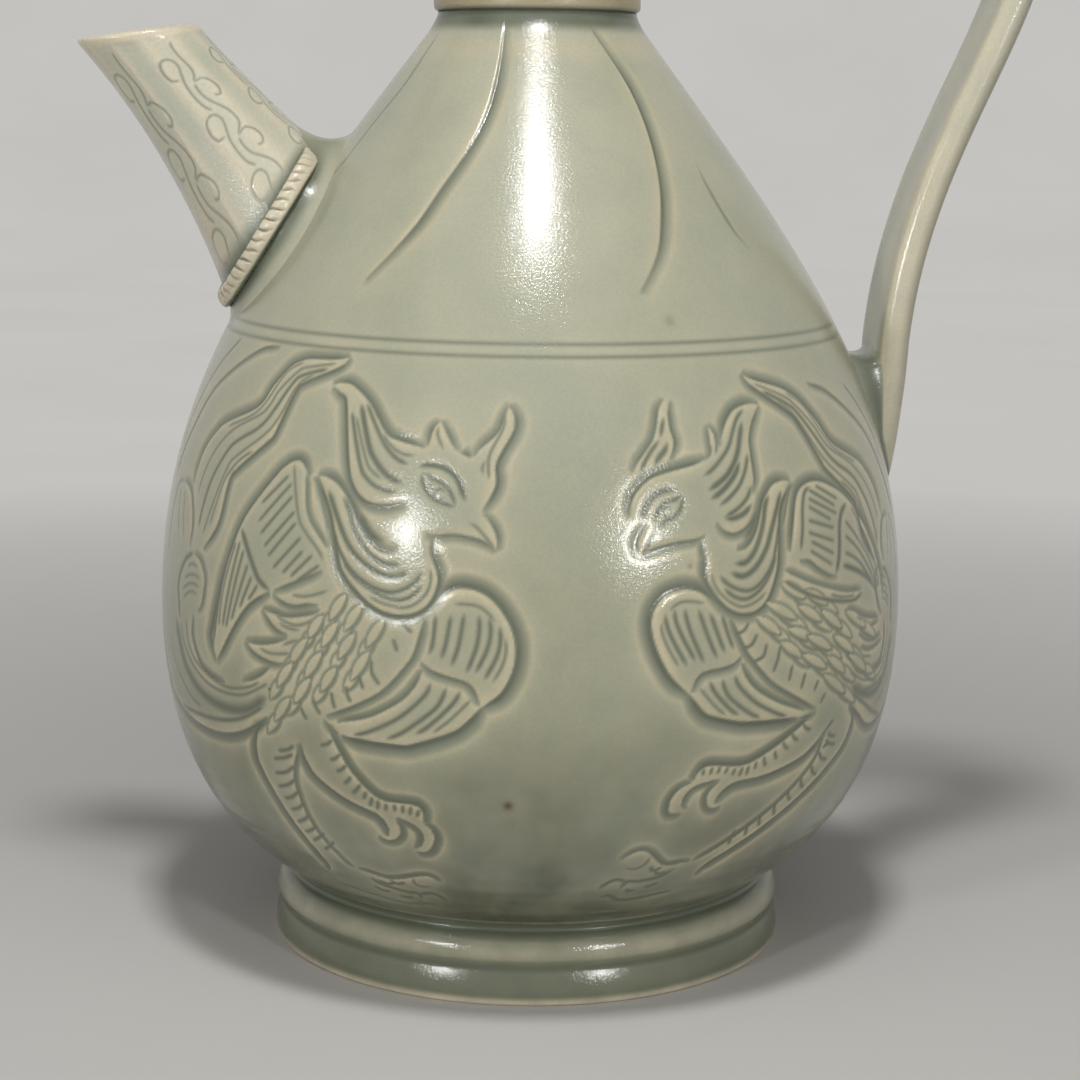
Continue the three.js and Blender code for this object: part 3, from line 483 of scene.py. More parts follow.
# Scale feathers of the left bird: middle and length on the breast sheet. They rise at one slope, and under
# each lies a second one, a step further down.
SCALE_FEATHERS = (
    (985, 60, 270), (1120, 150, 270), (1310, 290, 290), (790, 230, 230), (912, 300, 250), (1060, 400, 260),
    (640, 445, 260), (768, 565, 270), (902, 690, 250), (1180, 570, 290), (522, 650, 240), (672, 790, 250),
    (500, 950, 230),
)
SCALE_RISE = math.radians(57)
SCALE_STEP = (-70, 118)

# Scale feathers of the right bird, in pixels of the picture: upper end and lower end
RIGHT_SCALES = (
    (782, 584, 806, 598), (806, 591, 828, 604), (767, 603, 797, 619), (799, 606, 822, 621),
    (822, 611, 842, 628), (757, 617, 781, 634), (789, 629, 814, 639), (846, 611, 866, 627),
    (781, 642, 802, 657), (808, 636, 832, 649), (834, 636, 854, 652), (803, 655, 827, 668),
    (828, 657, 845, 672), (824, 675, 845, 693), (850, 655, 866, 670),
)
RIGHT_SCALE_STEP = (10, 9)

# A scale feather: half of its width, the depth and width of the cut round it, and the width of its rim
SCALE_HALF_WIDTH = 1.05 * MM
SCALE_DEPTH = 1.05 * MM
SCALE_CUT = 0.75 * MM
SCALE_RIM = 0.16 * MM

# Strokes of the right bird's own head, wing, breast and back, in pixels of the picture: knife, side and
# strokes
RIGHT_STROKES = {
    "flame_left": ("low_edge", -1, (
        (664, 397, 658, 408, 656, 425, 652, 440, 644, 452, 636, 464, 631, 474),)),
    "flame_right": ("low_edge", 1, ((671, 399, 669, 412, 671, 428, 675, 440, 674, 450, 670, 461),)),
    "flame_cut": ("cut", 0, ((660, 439, 652, 450, 645, 462, 640, 475), (664, 416, 662, 428, 660, 439),)),
    "flame_cut_deep": ("deep_cut", 0, ((668, 441, 665, 450, 659, 458, 654, 467),)),
    "head_top": ("edge", -1, (
        (707, 456, 700, 461, 690, 465, 675, 469, 662, 473, 650, 478, 641, 486, 634, 495, 630, 506,
        629, 518),)),
    "leaf_tip": ("small_edge", -1, ((706, 423, 708, 432, 710, 445, 711, 453, 704, 461),)),
    "leaf_notch": ("small_edge", 1, ((706, 423, 713, 430, 718, 440, 720, 448),)),
    "leaf_cut": ("fine", 0, ((714, 432, 717, 444, 715, 456),)),
    "crest_left": ("edge", 1, ((720, 441, 723, 429, 727, 418, 733, 409, 742, 404, 752, 402, 760, 404),)),
    "crest_right": ("low_edge", 1, (
        (760, 404, 756, 413, 752, 425, 750, 440, 752, 456, 754, 470, 755, 482, 752, 494),)),
    "crest_lobe": ("low_edge", 1, (
        (758, 500, 757, 512, 750, 524, 742, 531, 733, 534, 723, 530, 716, 521),)),
    "crest_deep": ("deep_cut", 0, (
        (742, 420, 740, 438, 737, 456, 729, 473, 719, 483, 708, 491), (740, 460, 736, 473, 728, 485,
        719, 494, 710, 500), (753, 503, 745, 513, 735, 518, 724, 519),)),
    "crest_fine": ("cut", 0, (
        (744, 408, 737, 418, 733, 431, 729, 446, 722, 458, 712, 470, 703, 476), (748, 452, 746, 468,
        741, 483, 734, 493, 726, 501, 719, 506), (752, 484, 748, 497, 740, 507, 732, 513, 724, 517),)),
    "eye_brow": ("deep_cut", 0, ((678, 490, 665, 490, 655, 495, 648, 503, 644, 513, 644, 523),)),
    "eye_lids": ("cut", 0, (
        (684, 494, 676, 499, 665, 503, 658, 512, 655, 524), (684, 494, 682, 506, 677, 515, 668, 520,
        657, 527),)),
    "eye_ball": ("fine", 0, ((672, 512, 668, 517, 663, 513, 664, 508, 669, 507, 672, 512),)),
    "panel_edge": ("edge", 1, (
        (790, 553, 792, 540, 794, 520, 796, 500, 800, 488, 809, 481, 820, 480, 832, 485, 843, 492,
        852, 502, 862, 518, 870, 535, 876, 553, 881, 575, 883, 598),)),
    "panel_rim": ("cut", 0, ((801, 552, 803, 530, 803, 508, 805, 492, 811, 486),)),
    "panel_side": ("deep_cut", 0, ((847, 502, 842, 512, 840, 526, 840, 545, 839, 561, 836, 575),)),
    "panel_hatch": ("hatch", 0, (
        (815, 485, 838, 499), (808, 489, 836, 506), (808, 498, 838, 514), (808, 506, 832, 520),
        (808, 520, 835, 528), (808, 532, 835, 541), (811, 541, 835, 554), (810, 550, 833, 565),)),
    "panel_foot": ("low_edge", -1, ((799, 560, 810, 561, 819, 568, 829, 574, 838, 577),)),
    "long_feathers": ("hatch", 0, (
        (851, 506, 862, 527, 872, 552, 880, 583), (845, 520, 858, 538, 870, 560, 879, 587), (845, 535,
        857, 547, 868, 565, 878, 589), (845, 552, 858, 560, 868, 574, 877, 591),)),
    "long_foot": ("deep_cut", 0, ((842, 565, 852, 568, 862, 573, 870, 580, 878, 592),)),
    "roll_top": ("small_edge", 1, ((784, 569, 800, 577, 815, 583, 832, 588, 848, 591, 862, 589),)),
    "roll_low": ("cut", 0, ((784, 580, 800, 590, 820, 598, 838, 601, 854, 600, 863, 592),)),
    "roll_cut": ("fine", 0, ((830, 594, 842, 597, 856, 595),)),
    "breast_cut": ("tick", 0, (
        (734, 635, 744, 631, 750, 621), (742, 649, 752, 645, 758, 633), (754, 662, 764, 656, 767, 643),
        (773, 673, 778, 660, 781, 645), (789, 682, 793, 664), (801, 690, 806, 672), (814, 692, 819, 679),
        (820, 704, 826, 692), (822, 737, 828, 727, 834, 719), (822, 748, 830, 742),)),
    "back_leaf": ("small_edge", 1, (
        (847, 607, 858, 613, 868, 617, 879, 617), (852, 622, 862, 628, 871, 627, 879, 620), (858, 633,
        866, 640, 874, 640, 881, 633), (860, 647, 868, 650, 876, 646, 882, 638), (862, 667, 870, 670,
        878, 664, 883, 655), (856, 684, 862, 691, 869, 690, 877, 684, 883, 676),)),
    "back_leaf_cut": ("fine", 0, (
        (866, 700, 870, 696, 877, 690), (856, 616, 864, 621), (862, 656, 872, 656),)),
}

# How the names of those strokes of the left bird start that the right bird doesn't take over
RIGHT_OWN = ("crest", "horn", "plume", "brow", "lid", "pupil", "eye", "wing", "spike", "breast_cut")

# Long leaf cuts on the shoulder, written in the same way
SHOULDER_STROKES = {
    "leaf_left": ("leaf_vein", 0, ((443, 26, 424, 55, 404, 85, 376, 120, 352, 151, 330, 178, 312, 196),)),
    "leaf_middle": ("leaf", 1, (
        (505, 20, 502, 48, 498, 72, 490, 104, 478, 132, 462, 159, 440, 190, 418, 222, 392, 252,
        364, 281),)),
    "leaf_right": ("leaf", 1, (
        (590, 26, 600, 41, 617, 66, 632, 91, 645, 121, 655, 154, 661, 187, 662, 219, 660, 247, 652, 271,
        640, 294),)),
    "leaf_far": ("leaf_vein", 0, ((694, 160, 706, 184, 722, 212, 737, 235, 752, 252),)),
}

# How the right bird stands: places of the left bird, in pixels of the picture, and where the right bird has
# them
STANCE = {
    "beak_tip": ((498, 552), (629, 564)),
    "eye": ((440, 495), (668, 512)),
    "horn_tip": ((441, 418), (709, 425)),
    "crest_tip": ((331.5, 386.5), (761, 405)),
    "plume_tip": ((508, 403), (670, 396)),
    "ruff_tip": ((317, 475), (789, 474)),
    "ruff_bottom": ((404, 616), (745, 614)),
    "throat": ((437, 575), (704, 590)),
    "mouth_corner": ((424, 532), (713, 522)),
    "wing_top": ((297, 460), (818, 490)),
    "wing_bottom": ((272, 590), (818, 572)),
    "front_wing_outer": ((516, 656), (651, 629)),
    "upper_lobe_top": ((469, 588), (699, 583)),
    "lobe_split": ((479, 707), (693, 698)),
    "lower_lobe_outer": ((466, 727), (702, 714)),
    "lower_lobe_tip": ((340, 735), (790, 708)),
    "hip": ((327, 718), (823, 722)),
    "raised_claw": ((414, 854), (692, 808)),
    "second_claw": ((380, 838), (716.5, 812)),
    "ankle": ((424, 805), (700, 763)),
    "standing_claw": ((445, 905), (599, 896)),
    "claw_top": ((440, 878), (616.5, 855)),
    "leg_bottom": ((330, 872), (688, 877.5)),
    "leg_outer": ((256, 750), (848, 738)),
    "tail_tip": ((351, 355), (738, 371)),
    "tail_root": ((220, 700), (872, 690)),
    "root_bottom": ((240, 731), (862, 708)),
}

# Iron spots: place in pixels of the picture, size in millimetres, strength
IRON_SPOTS = {
    "brown": (508, 806, 0.9, 0.9),
    "grey": (670, 321, 1.1, 0.25),
    "small": (690, 566, 0.6, 0.4),
}

# One length of the spout's vine, each line as places across half a facet and down the spout in vine lengths:
# the stem, the loop on its left, the curl on its right, and the shoot at the very top
VINE_STEM = (
    (0.02, 0.295), (-0.09, 0.437), (0.03, 0.607), (0.4, 0.769), (0.7, 0.954), (0.7, 1.137), (0.42, 1.22),
    (0.02, 1.295),
)
VINE_LOOP = (
    (-0.16, 0.786), (-0.47, 0.673), (-0.59, 0.503), (-0.54, 0.277), (-0.29, 0.106), (-0.08, -0.033),
    (-0.23, -0.147), (-0.64, -0.179), (-1.08, -0.12), (-1.28, 0.024), (-1.11, 0.158), (-0.55, 0.165),
)
VINE_CURL = (
    (0.02, 0.295), (0.66, 0.269), (1.06, 0.371), (1.21, 0.509), (1.08, 0.61), (0.8, 0.64), (0.6, 0.565),
)
VINE_SHOOT = ((0.61, -0.462), (0.44, -0.314), (0.45, -0.13), (0.54, 0.05), (0.37, 0.198), (0.02, 0.295))

# How many lengths of the vine a facet takes, and how far down the first of them starts, in lengths
VINE_LENGTHS = 3.06
VINE_START = 0.64

# Corners of the strap's section, across it and through it
STRAP_SECTION = (
    (-1, 0), (-0.93, 0.7), (-0.74, 1), (-0.26, 0.93), (0.26, 0.93), (0.74, 1), (0.93, 0.7), (1, 0),
    (0.93, -0.7), (0.74, -1), (0, -1), (-0.74, -1), (-0.93, -0.7),
)

# The lower root from the strap to the tongue's tip: how far down, and how wide between tip and strap
TONGUE_WIDTHS = ((0, 1), (0.3, 0.98), (0.5, 0.9), (0.7, 0.78), (0.9, 0.5), (1, 0.2))

# The waver of a hand-thrown wall: waves round the ewer, waves up it, where they start, and their strength
WAVER = ((2, 31, 0.4, 1.0), (3, -57, 1.9, 0.7), (5, 83, 4.1, 0.5))

# Where the close rows of the body's mesh start, and how far round its close columns reach
CLOSE_ROWS_FROM = 22 * MM
CLOSE_COLUMNS_TO = math.radians(87)

# Lamps: turn from the camera's side and rise over the floor in degrees, distance, width and height in metres,
# and the setting that holds their power. All of them face the belly.
LAMPS = {
    "top_softbox": (2, 68, 0.9, 0.11, 0.13, "top_power"),
    "sky_panel": (-8, 58, 1.5, 1.8, 1.4, "sky_power"),
    "left_softbox": (-37, 12, 1.1, 0.1, 0.1, "side_power"),
    "right_softbox": (33, 12, 1.1, 0.1, 0.1, "side_power"),
}
LIT_HEIGHT = 95 * MM


# Small tools


def settings(name):
    """One group of sizes or colours of the scene."""
    return getattr(bpy.context.scene, name)


def curve(start, start_handle, end_handle, end, steps):
    """Points along a cubic curve."""
    t = np.linspace(0, 1, steps + 1)[:, None]
    corners = [np.asarray(p, float) for p in (start, start_handle, end_handle, end)]
    weights = ((1 - t) ** 3, 3 * (1 - t) ** 2 * t, 3 * (1 - t) * t ** 2, t ** 3)
    return sum(weight * corner for weight, corner in zip(weights, corners))


def bow(start, handle, end, steps):
    """Points along a quadratic curve."""
    t = np.linspace(0, 1, steps + 1)[:, None]
    start, handle, end = (np.asarray(p, float) for p in (start, handle, end))
    return (1 - t) ** 2 * start + 2 * (1 - t) * t * handle + t ** 2 * end


def smooth_step(low, high, value):
    """0 below low, 1 above high, and a soft ramp between."""
    t = np.clip((value - low) / (high - low), 0, 1)
    return t * t * (3 - 2 * t)


def bump(value, middle, width):
    """1 at the middle, and less and less on both sides of it."""
    return np.exp(-((value - middle) / width) ** 2)


def stop_along(measure, low, high):
    """Where a rising measure passes zero between low and high, which may be arrays of many places at once."""
    low, high = np.array(low, float), np.array(high, float)
    for _ in range(36):
        middle = (low + high) / 2
        below = measure(middle) < 0
        low = np.where(below, middle, low)
        high = np.where(below, high, middle)
    return (low + high) / 2


def distances_along(points):
    """How far along a line of points each of them lies."""
    return np.concatenate([[0], np.cumsum(np.linalg.norm(np.diff(points, axis=0), axis=1))])


def resample(points, step):
    """Points at an even step along a line of points."""
    points = np.asarray(points, float)
    run = distances_along(points)
    at = np.linspace(0, run[-1], max(math.ceil(run[-1] / step), 1) + 1)
    return np.column_stack([np.interp(at, run, part) for part in points.T])


def flowing(points, closed=False, steps=8):
    """A smooth line through a few points."""
    points = np.asarray(points, float)
    if closed:
        padded = np.vstack([points[-1], points, points[:2]])
    else:
        padded = np.vstack([2 * points[0] - points[1], points, 2 * points[-1] - points[-2]])
    t = np.linspace(0, 1, steps, endpoint=False)[:, None]
    line = []
    for a, b, c, d in zip(padded[:-3], padded[1:-2], padded[2:-1], padded[3:]):
        line.append(0.5 * (2 * b + (c - a) * t + (2 * a - 5 * b + 4 * c - d) * t ** 2
                           + (3 * b - a - 3 * c + d) * t ** 3))
    if not closed:
        line.append(points[-1:])
    return np.vstack(line)


def softened(values, cells):
    """Values on a grid of rows and wrapped columns, blurred over a number of cells."""
    reach = math.ceil(3 * cells)
    weights = np.exp(-0.5 * (np.arange(-reach, reach + 1) / cells) ** 2)
    weights /= weights.sum()
    rows = np.pad(values, ((reach, reach), (0, 0)), mode="edge")
    tall = sum(w * rows[k:k + len(values)] for k, w in enumerate(weights))
    return sum(w * np.roll(tall, k - reach, axis=1) for k, w in enumerate(weights))


def unevenness(theta, height, size):
    """The slow waver of a hand-thrown wall, within plus and minus size."""
    waves = sum(part * np.sin(turns * theta + climb * height + start) for turns, climb, start, part in WAVER)
    rings = 0.4 * np.sin(170 * height + 0.8 * np.sin(theta))
    return size * (waves + rings) / 2.6


def woven(rows, columns, looped=False):
    """Four-sided faces over a grid of points. Its columns wrap round, and so do its rows if looped is set."""
    index = np.arange(rows * columns).reshape(rows, columns)
    after = np.roll(index, -1, axis=1)
    corners = [index, after, np.roll(after, -1, axis=0), np.roll(index, -1, axis=0)]
    used = rows if looped else rows - 1
    return np.stack([corner[:used] for corner in corners], axis=-1).reshape(-1, 4)


def fans(rows, columns):
    """Three-sided faces from the first row of a grid to one more point, and from the last row to another."""
    index = np.arange(rows * columns).reshape(rows, columns)
    after = np.roll(index, -1, axis=1)
    first = np.stack([np.full(columns, rows * columns), after[0], index[0]], axis=-1)
    last = np.stack([np.full(columns, rows * columns + 1), index[-1], after[-1]], axis=-1)
    return np.vstack([first, last])


def mesh_from(name, points, quads, triangles):
    """A smooth mesh from its points and faces."""
    corners = np.concatenate([quads.reshape(-1), triangles.reshape(-1)])
    starts = np.concatenate([4 * np.arange(len(quads)), 4 * len(quads) + 3 * np.arange(len(triangles))])
    mesh = bpy.data.meshes.new(name)
    mesh.vertices.add(len(points))
    mesh.vertices.foreach_set("co", points.astype(np.float32).reshape(-1))
    mesh.loops.add(len(corners))
    mesh.loops.foreach_set("vertex_index", corners.astype(np.int32))
    mesh.polygons.add(len(starts))
    mesh.polygons.foreach_set("loop_start", starts.astype(np.int32))
    mesh.polygons.foreach_set("use_smooth", np.ones(len(starts), bool))
    mesh.update(calc_edges=True)
    mesh.validate()
    return mesh


def mark_rims(mesh, rows, columns):
    """Makes the edges along the first and the last row of a grid sharp."""
    ends = np.zeros(len(mesh.edges) * 2, np.int32)
    mesh.edges.foreach_get("vertices", ends)
    ends = ends.reshape(-1, 2)
    on_first = (ends < columns).all(axis=1)
    on_last = ((ends >= (rows - 1) * columns) & (ends < rows * columns)).all(axis=1)
    mesh.edges.foreach_set("use_edge_sharp", on_first | on_last)


def linked(item):
    """An object, put into the scene."""
    bpy.context.scene.collection.objects.link(item)
    return item


def skin(name, grid, pool=0.0, ridge=0.0, speck=0.0, caps=False):
    """A closed piece over a grid of points: its columns wrap round, and its rows do too or end in caps."""
    rows, columns = grid.shape[:2]
    points = grid.reshape(-1, 3)
    fields = [np.broadcast_to(np.asarray(v, float), grid.shape[:2]).reshape(-1) for v in (pool, ridge, speck)]
    quads = woven(rows, columns, looped=not caps)
    triangles = np.empty((0, 3), int)
    if caps:
        points = np.vstack([points, grid[0].mean(axis=0), grid[-1].mean(axis=0)])
        fields = [np.append(field, [field[0], field[-1]]) for field in fields]
        triangles = fans(rows, columns)
    corners = points[np.vstack([quads[:, [0, 1, 2]], quads[:, [0, 2, 3]], triangles])]
    volume = np.einsum("ij,ij->i", corners[:, 0], np.cross(corners[:, 1], corners[:, 2])).sum()
    if volume < 0:
        quads, triangles = quads[:, ::-1], triangles[:, ::-1]
    mesh = mesh_from(name, points, quads, triangles)
    if caps:
        mark_rims(mesh, rows, columns)
    for key, field in zip(("pool", "ridge", "speck"), fields):
        layer = mesh.attributes.new(key, "FLOAT", "POINT")
        layer.data.foreach_set("value", np.clip(field, 0, 1).astype(np.float32))
    return linked(bpy.data.objects.new(name, mesh))


def stand_for(piece, node, slot, recipe=None):
    """The piece rides on the ewer, stands for its node and takes its slot's glaze or another recipe's."""
    piece.data.materials.append(glaze_for(recipe or slot))
    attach(piece, "root")
    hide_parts(node)


def turned(profile, thetas, middle=AXIS_X):
    """A grid of points round an upright axis, from a profile of radius and height."""
    radius, height = np.asarray(profile, float).T
    return np.stack([
        middle + radius[:, None] * np.sin(thetas),
        -radius[:, None] * np.cos(thetas),
        np.repeat(height[:, None], len(thetas), axis=1),
    ], axis=-1)


def pushed_out(grid, thetas, distance):
    """A turned grid with each of its points moved outward by a distance."""
    grid[:, :, 0] += distance * np.sin(thetas)
    grid[:, :, 1] -= distance * np.cos(thetas)
    return grid


def round_angles(steps):
    """Evenly spaced angles all round."""
    return np.linspace(0, 2 * math.pi, steps, endpoint=False)


# The body's outline, and where a point of the picture lies on it


class Outline:
    """The body's outer outline, with its run from the foot joint up."""

    def __init__(self):
        s = settings("ewer_body")
        low_rise = s.belly_height - s.joint_height
        high_rise = s.cone_height - s.belly_height
        joint = np.array([s.joint_radius, s.joint_height])
        belly = np.array([s.belly_radius, s.belly_height])
        cone = np.array([s.cone_radius, s.cone_height])
        throat = np.array([s.throat_radius, s.throat_height])
        up = np.array([0.0, 1.0])
        out = np.array([math.cos(s.joint_rise), math.sin(s.joint_rise)])
        course = np.array([-math.sin(s.cone_taper), math.cos(s.cone_taper)])
        corner = np.array([
            s.throat_radius,
            s.cone_height + (s.cone_radius - s.throat_radius) / math.tan(s.cone_taper),
        ])
        low = curve(
            joint, joint + out * low_rise * s.lower_start,
            belly - up * low_rise * s.lower_end, belly, steps=400)
        high = curve(
            belly, belly + up * high_rise * s.upper_start,
            cone - course * high_rise * s.upper_end, cone, steps=500)
        turn = bow(cone, corner, throat, steps=60)
        points = np.vstack([low, high[1:], turn[1:]])
        self.radii, self.heights = points.T
        self.runs = distances_along(points)

    def radius(self, height):
        """Radius at a height."""
        return np.interp(height, self.heights, self.radii)

    def run(self, height):
        """Distance along the outline from the foot joint, at a height."""
        return np.interp(height, self.heights, self.runs)

    def place(self, run):
        """Radius and height at a run, and the outward direction there."""
        step = 0.2 * MM
        before, here, after = (
            [np.interp(at, self.runs, part) for part in (self.radii, self.heights)]
            for at in (run - step, run, run + step))
        along_r, along_z = after[0] - before[0], after[1] - before[1]
        size = np.hypot(along_r, along_z)
        return *here, along_z / size, -along_r / size


class PictureCamera:
    """The camera that the picture was taken with, in a frame where the ewer's axis is the origin."""

    def __init__(self):
        s = settings("ewer_stage")
        self.turn = s.camera_turn
        self.roll = s.camera_roll
        self.focal = s.focal_pixels
        self.middle = s.picture_pixels / 2
        self.shift = s.shift_pixels
        self.place = np.array([0.0, -s.camera_distance, s.camera_height])
        self.ahead = np.array([0.0, math.cos(s.camera_pitch), -math.sin(s.camera_pitch)])
        self.up = np.array([0.0, math.sin(s.camera_pitch), math.cos(s.camera_pitch)])

    def ray(self, across, down):
        """The direction of the ray through a pixel of the picture."""
        u = across - self.middle + self.shift
        v = down - self.middle
        x = u * math.cos(self.roll) + v * math.sin(self.roll)
        y = -u * math.sin(self.roll) + v * math.cos(self.roll)
        direction = self.ahead + np.array([1.0, 0.0, 0.0]) * x / self.focal - self.up * y / self.focal
        return direction / np.linalg.norm(direction)

    def on_body(self, across, down, outline):
        """The angle from the ewer's front and the run up its outline where a pixel's ray meets the body."""
        ray = self.ray(across, down)

        def depth(distance):
            x, y, z = self.place[:, None] + np.atleast_1d(distance) * ray[:, None]
            return outline.radius(z) - np.hypot(x, y)

        distances = np.linspace(-90 * MM, 60 * MM, 301) - self.place[1]
        inside = depth(distances) > 0
        if not inside.any():
            return None
        first = int(np.argmax(inside))
        x, y, z = self.place + stop_along(depth, distances[first - 1], distances[first]) * ray
        return math.atan2(x, -y) - self.turn, float(outline.run(z))


# The carving


def sheet_to_body(sheet, points, camera, outline):
    """Points of a drawing sheet as angles and runs on the body, without those that lie beside it."""
    left, top, enlargement = SHEETS[sheet]
    places = np.reshape(points, (-1, 2))
    hits = [camera.on_body(left + x / enlargement, top + y / enlargement, outline) for x, y in places]
    line = np.array([hit for hit in hits if hit is not None])
    if len(line) < 2:
        raise RuntimeError(f"the stroke {points} on the sheet {sheet} misses the body")
    return line


def warp(sources, targets, smoothing):
    """A smooth map of the plane that carries the source points to the target points."""
    def kernel(a, b):
        square = ((a[:, None, :] - b) ** 2).sum(axis=-1)
        return square * np.log(square + 1e-12)

    marks = len(sources)
    flat = np.hstack([np.ones((marks, 1)), sources])
    system = np.zeros((marks + 3, marks + 3))
    system[:marks, :marks] = kernel(sources, sources) + smoothing * np.eye(marks)
    system[:marks, marks:] = flat
    system[marks:, :marks] = flat.T
    weights = np.linalg.solve(system, np.vstack([targets, np.zeros((3, 2))]))

    def moved(points):
        spread = np.hstack([np.ones((len(points), 1)), points])
        return kernel(points, sources) @ weights[:marks] + spread @ weights[marks:]

    return moved


def body_cuts(camera, outline):
    """All strokes on the body. The right bird is the left one mirrored and bent, but for its own strokes."""
    marks = np.array([[camera.on_body(*place, outline) for place in places] for places in STANCE.values()])
    across = np.array([settings("ewer_body").belly_radius, 1.0]) * 10
    mirror = np.array([-1.0, 1.0])
    bend = warp(marks[:, 0] * across * mirror, marks[:, 1] * across, smoothing=0.02)
    cuts = []
    for name, (sheet, knife, side, strokes) in BIRD_STROKES.items():
        for points in strokes:
            line = sheet_to_body(sheet, points, camera, outline)
            cuts.append((line, knife, side))
            if not name.startswith(RIGHT_OWN):
                cuts.append((bend(line * across * mirror) / across, knife, -side))
    for knife, side, strokes in (*RIGHT_STROKES.values(), *SHOULDER_STROKES.values()):
        cuts += [(sheet_to_body("whole", points, camera, outline), knife, side) for points in strokes]
    return cuts


def body_scales(camera, outline):
    """Both ends of each scale feather of both birds. Those that lie underneath come first."""
    rise = np.array([math.cos(SCALE_RISE), -math.sin(SCALE_RISE)])
    scales = []
    for layer in (1, 0):
        for x, y, size in SCALE_FEATHERS:
            middle = np.array([x, y]) + layer * np.array(SCALE_STEP)
            half = rise * size * (0.5 - 0.06 * layer)
            scales.append(sheet_to_body("breast", [middle - half, middle + half], camera, outline))
        for ends in RIGHT_SCALES:
            lower = np.array(ends) + layer * np.tile(RIGHT_SCALE_STEP, 2)
            scales.append(sheet_to_body("whole", lower, camera, outline))
    return scales


def window(thetas, runs, radii, points, reach):
    """The rows and columns of a grid of runs and angles that lie within reach of some points, if any do."""
    low, high = np.min(points, axis=0), np.max(points, axis=0)
    rows = slice(*np.searchsorted(runs, [low[1] - reach, high[1] + reach]))
    slim = radii[rows].min(initial=radii.max())
    columns = slice(*np.searchsorted(thetas, [low[0] - reach / slim, high[0] + reach / slim]))
    return (rows, columns) if rows.start < rows.stop and columns.start < columns.stop else None


def nearest_on_path(path, starts, legs, thetas, runs, radii):
    """For each point of a grid: its distance from a path, its side of the path, and how far along it is."""
    radius = radii[:, None, None]
    x = (thetas[None, :, None] - path[:-1, 0]) * radius
    y = runs[:, None, None] - path[:-1, 1]
    leg_x = (path[1:, 0] - path[:-1, 0]) * radius
    leg_y = path[1:, 1] - path[:-1, 1]
    advance = np.clip((x * leg_x + y * leg_y) / (leg_x ** 2 + leg_y ** 2), 0, 1)
    distance = np.hypot(x - advance * leg_x, y - advance * leg_y)
    side = leg_x * y - leg_y * x
    nearest = distance.argmin(axis=2)[:, :, None]
    off, side, advance = (
        np.take_along_axis(values, nearest, 2)[:, :, 0] for values in (distance, side, advance))
    nearest = nearest[:, :, 0]
    return off, side, starts[nearest] + advance * legs[nearest]


def edge_cut(off, on_slope, to_end, width, wall, run_out):
    """An edge: a slope down to the stroke on one side, a cliff on the other. It is shallower at its ends."""
    fade = (0.6 + 0.4 * smooth_step(0, 1, to_end / run_out)) * smooth_step(-0.2, 1, to_end / (0.8 * MM))
    slope = np.clip(1 - off / (width * (0.2 + 0.8 * fade)), 0, 1) ** 1.4
    cliff = np.clip(1 - off / wall, 0, 1)
    return fade * np.where(on_slope, slope, cliff)


def groove_cut(off, to_end, width, run_out):
    """A round groove that grows shallow and fine toward its ends."""
    fade = np.sqrt(smooth_step(-0.02, 1, to_end / run_out))
    return fade * bump(off, 0, 0.38 * width * (0.35 + 0.65 * fade))


def carve(slopes, grooves, thetas, runs, radii, cuts, step):
    """Lowers two grids of heights to the cuts, one by the edges and one by the grooves."""
    wall = 1.2 * step
    for line, knife, side in cuts:
        depth, width, run_out = (size * MM for size in KNIVES[knife])
        metric = np.array([np.interp(line[:, 1].mean(), runs, radii), 1.0])
        path = resample(flowing(line * metric), KNIFE_STEP) / metric
        along = distances_along(path * metric)
        legs = np.diff(along)
        run_out = min(run_out, along[-1] * LONGEST_RUN_OUT)
        for start in range(0, len(legs), STEPS_AT_A_TIME):
            stop = min(start + STEPS_AT_A_TIME + 1, len(legs))
            part = path[start:stop + 1]
            found = window(thetas, runs, radii, part, width * 1.1 + wall)
            if not found:
                continue
            rows, columns = found
            off, turn, at = nearest_on_path(
                part, along[start:stop], legs[start:stop], thetas[columns], runs[rows], radii[rows])
            to_end = np.minimum(at, along[-1] - at)
            if side:
                shape = edge_cut(off, turn * side > 0, to_end, width, wall, run_out)
            else:
                shape = groove_cut(off, to_end, width, run_out)
            patch = (slopes if side else grooves)[rows, columns]
            np.minimum(patch, -depth * shape, out=patch)


def cut_scales(slopes, thetas, runs, radii, scales):
    """Scale feathers laid one over the other: each a pointed leaf in lowered ground, with one side low."""
    for tail, tip in scales:
        found = window(thetas, runs, radii, [tail, tip], SCALE_HALF_WIDTH + SCALE_CUT)
        if not found:
            continue
        rows, columns = found
        middle = (tail + tip) / 2
        half = (tip - tail) / 2 * [np.interp(middle[1], runs, radii), 1.0]
        half_length = np.linalg.norm(half)
        ahead = half / half_length
        x = (thetas[columns] - middle[0]) * radii[rows, None]
        y = runs[rows, None] - middle[1]
        along = np.abs(x * ahead[0] + y * ahead[1])
        across = y * ahead[0] - x * ahead[1]
        edge = SCALE_HALF_WIDTH * np.clip(1 - (along / half_length) ** 2, 0, 1) ** 0.8
        beyond = np.hypot(across, np.maximum(along - half_length, 0))
        outside = np.where(along < half_length, np.abs(across) - edge, beyond)
        ground = -0.72 * SCALE_DEPTH * np.clip(1 - outside / SCALE_CUT, 0, 1) ** 1.3
        toward_low_side = np.clip(-across / np.maximum(edge, 0.1 * MM), -1, 1)
        leaf = -0.65 * SCALE_DEPTH * smooth_step(0.35, 1, toward_low_side)
        patch = slopes[rows, columns]
        lowered = np.minimum(patch, ground)
        patch[:] = lowered + (leaf - lowered) * smooth_step(SCALE_RIM, -SCALE_RIM, outside)


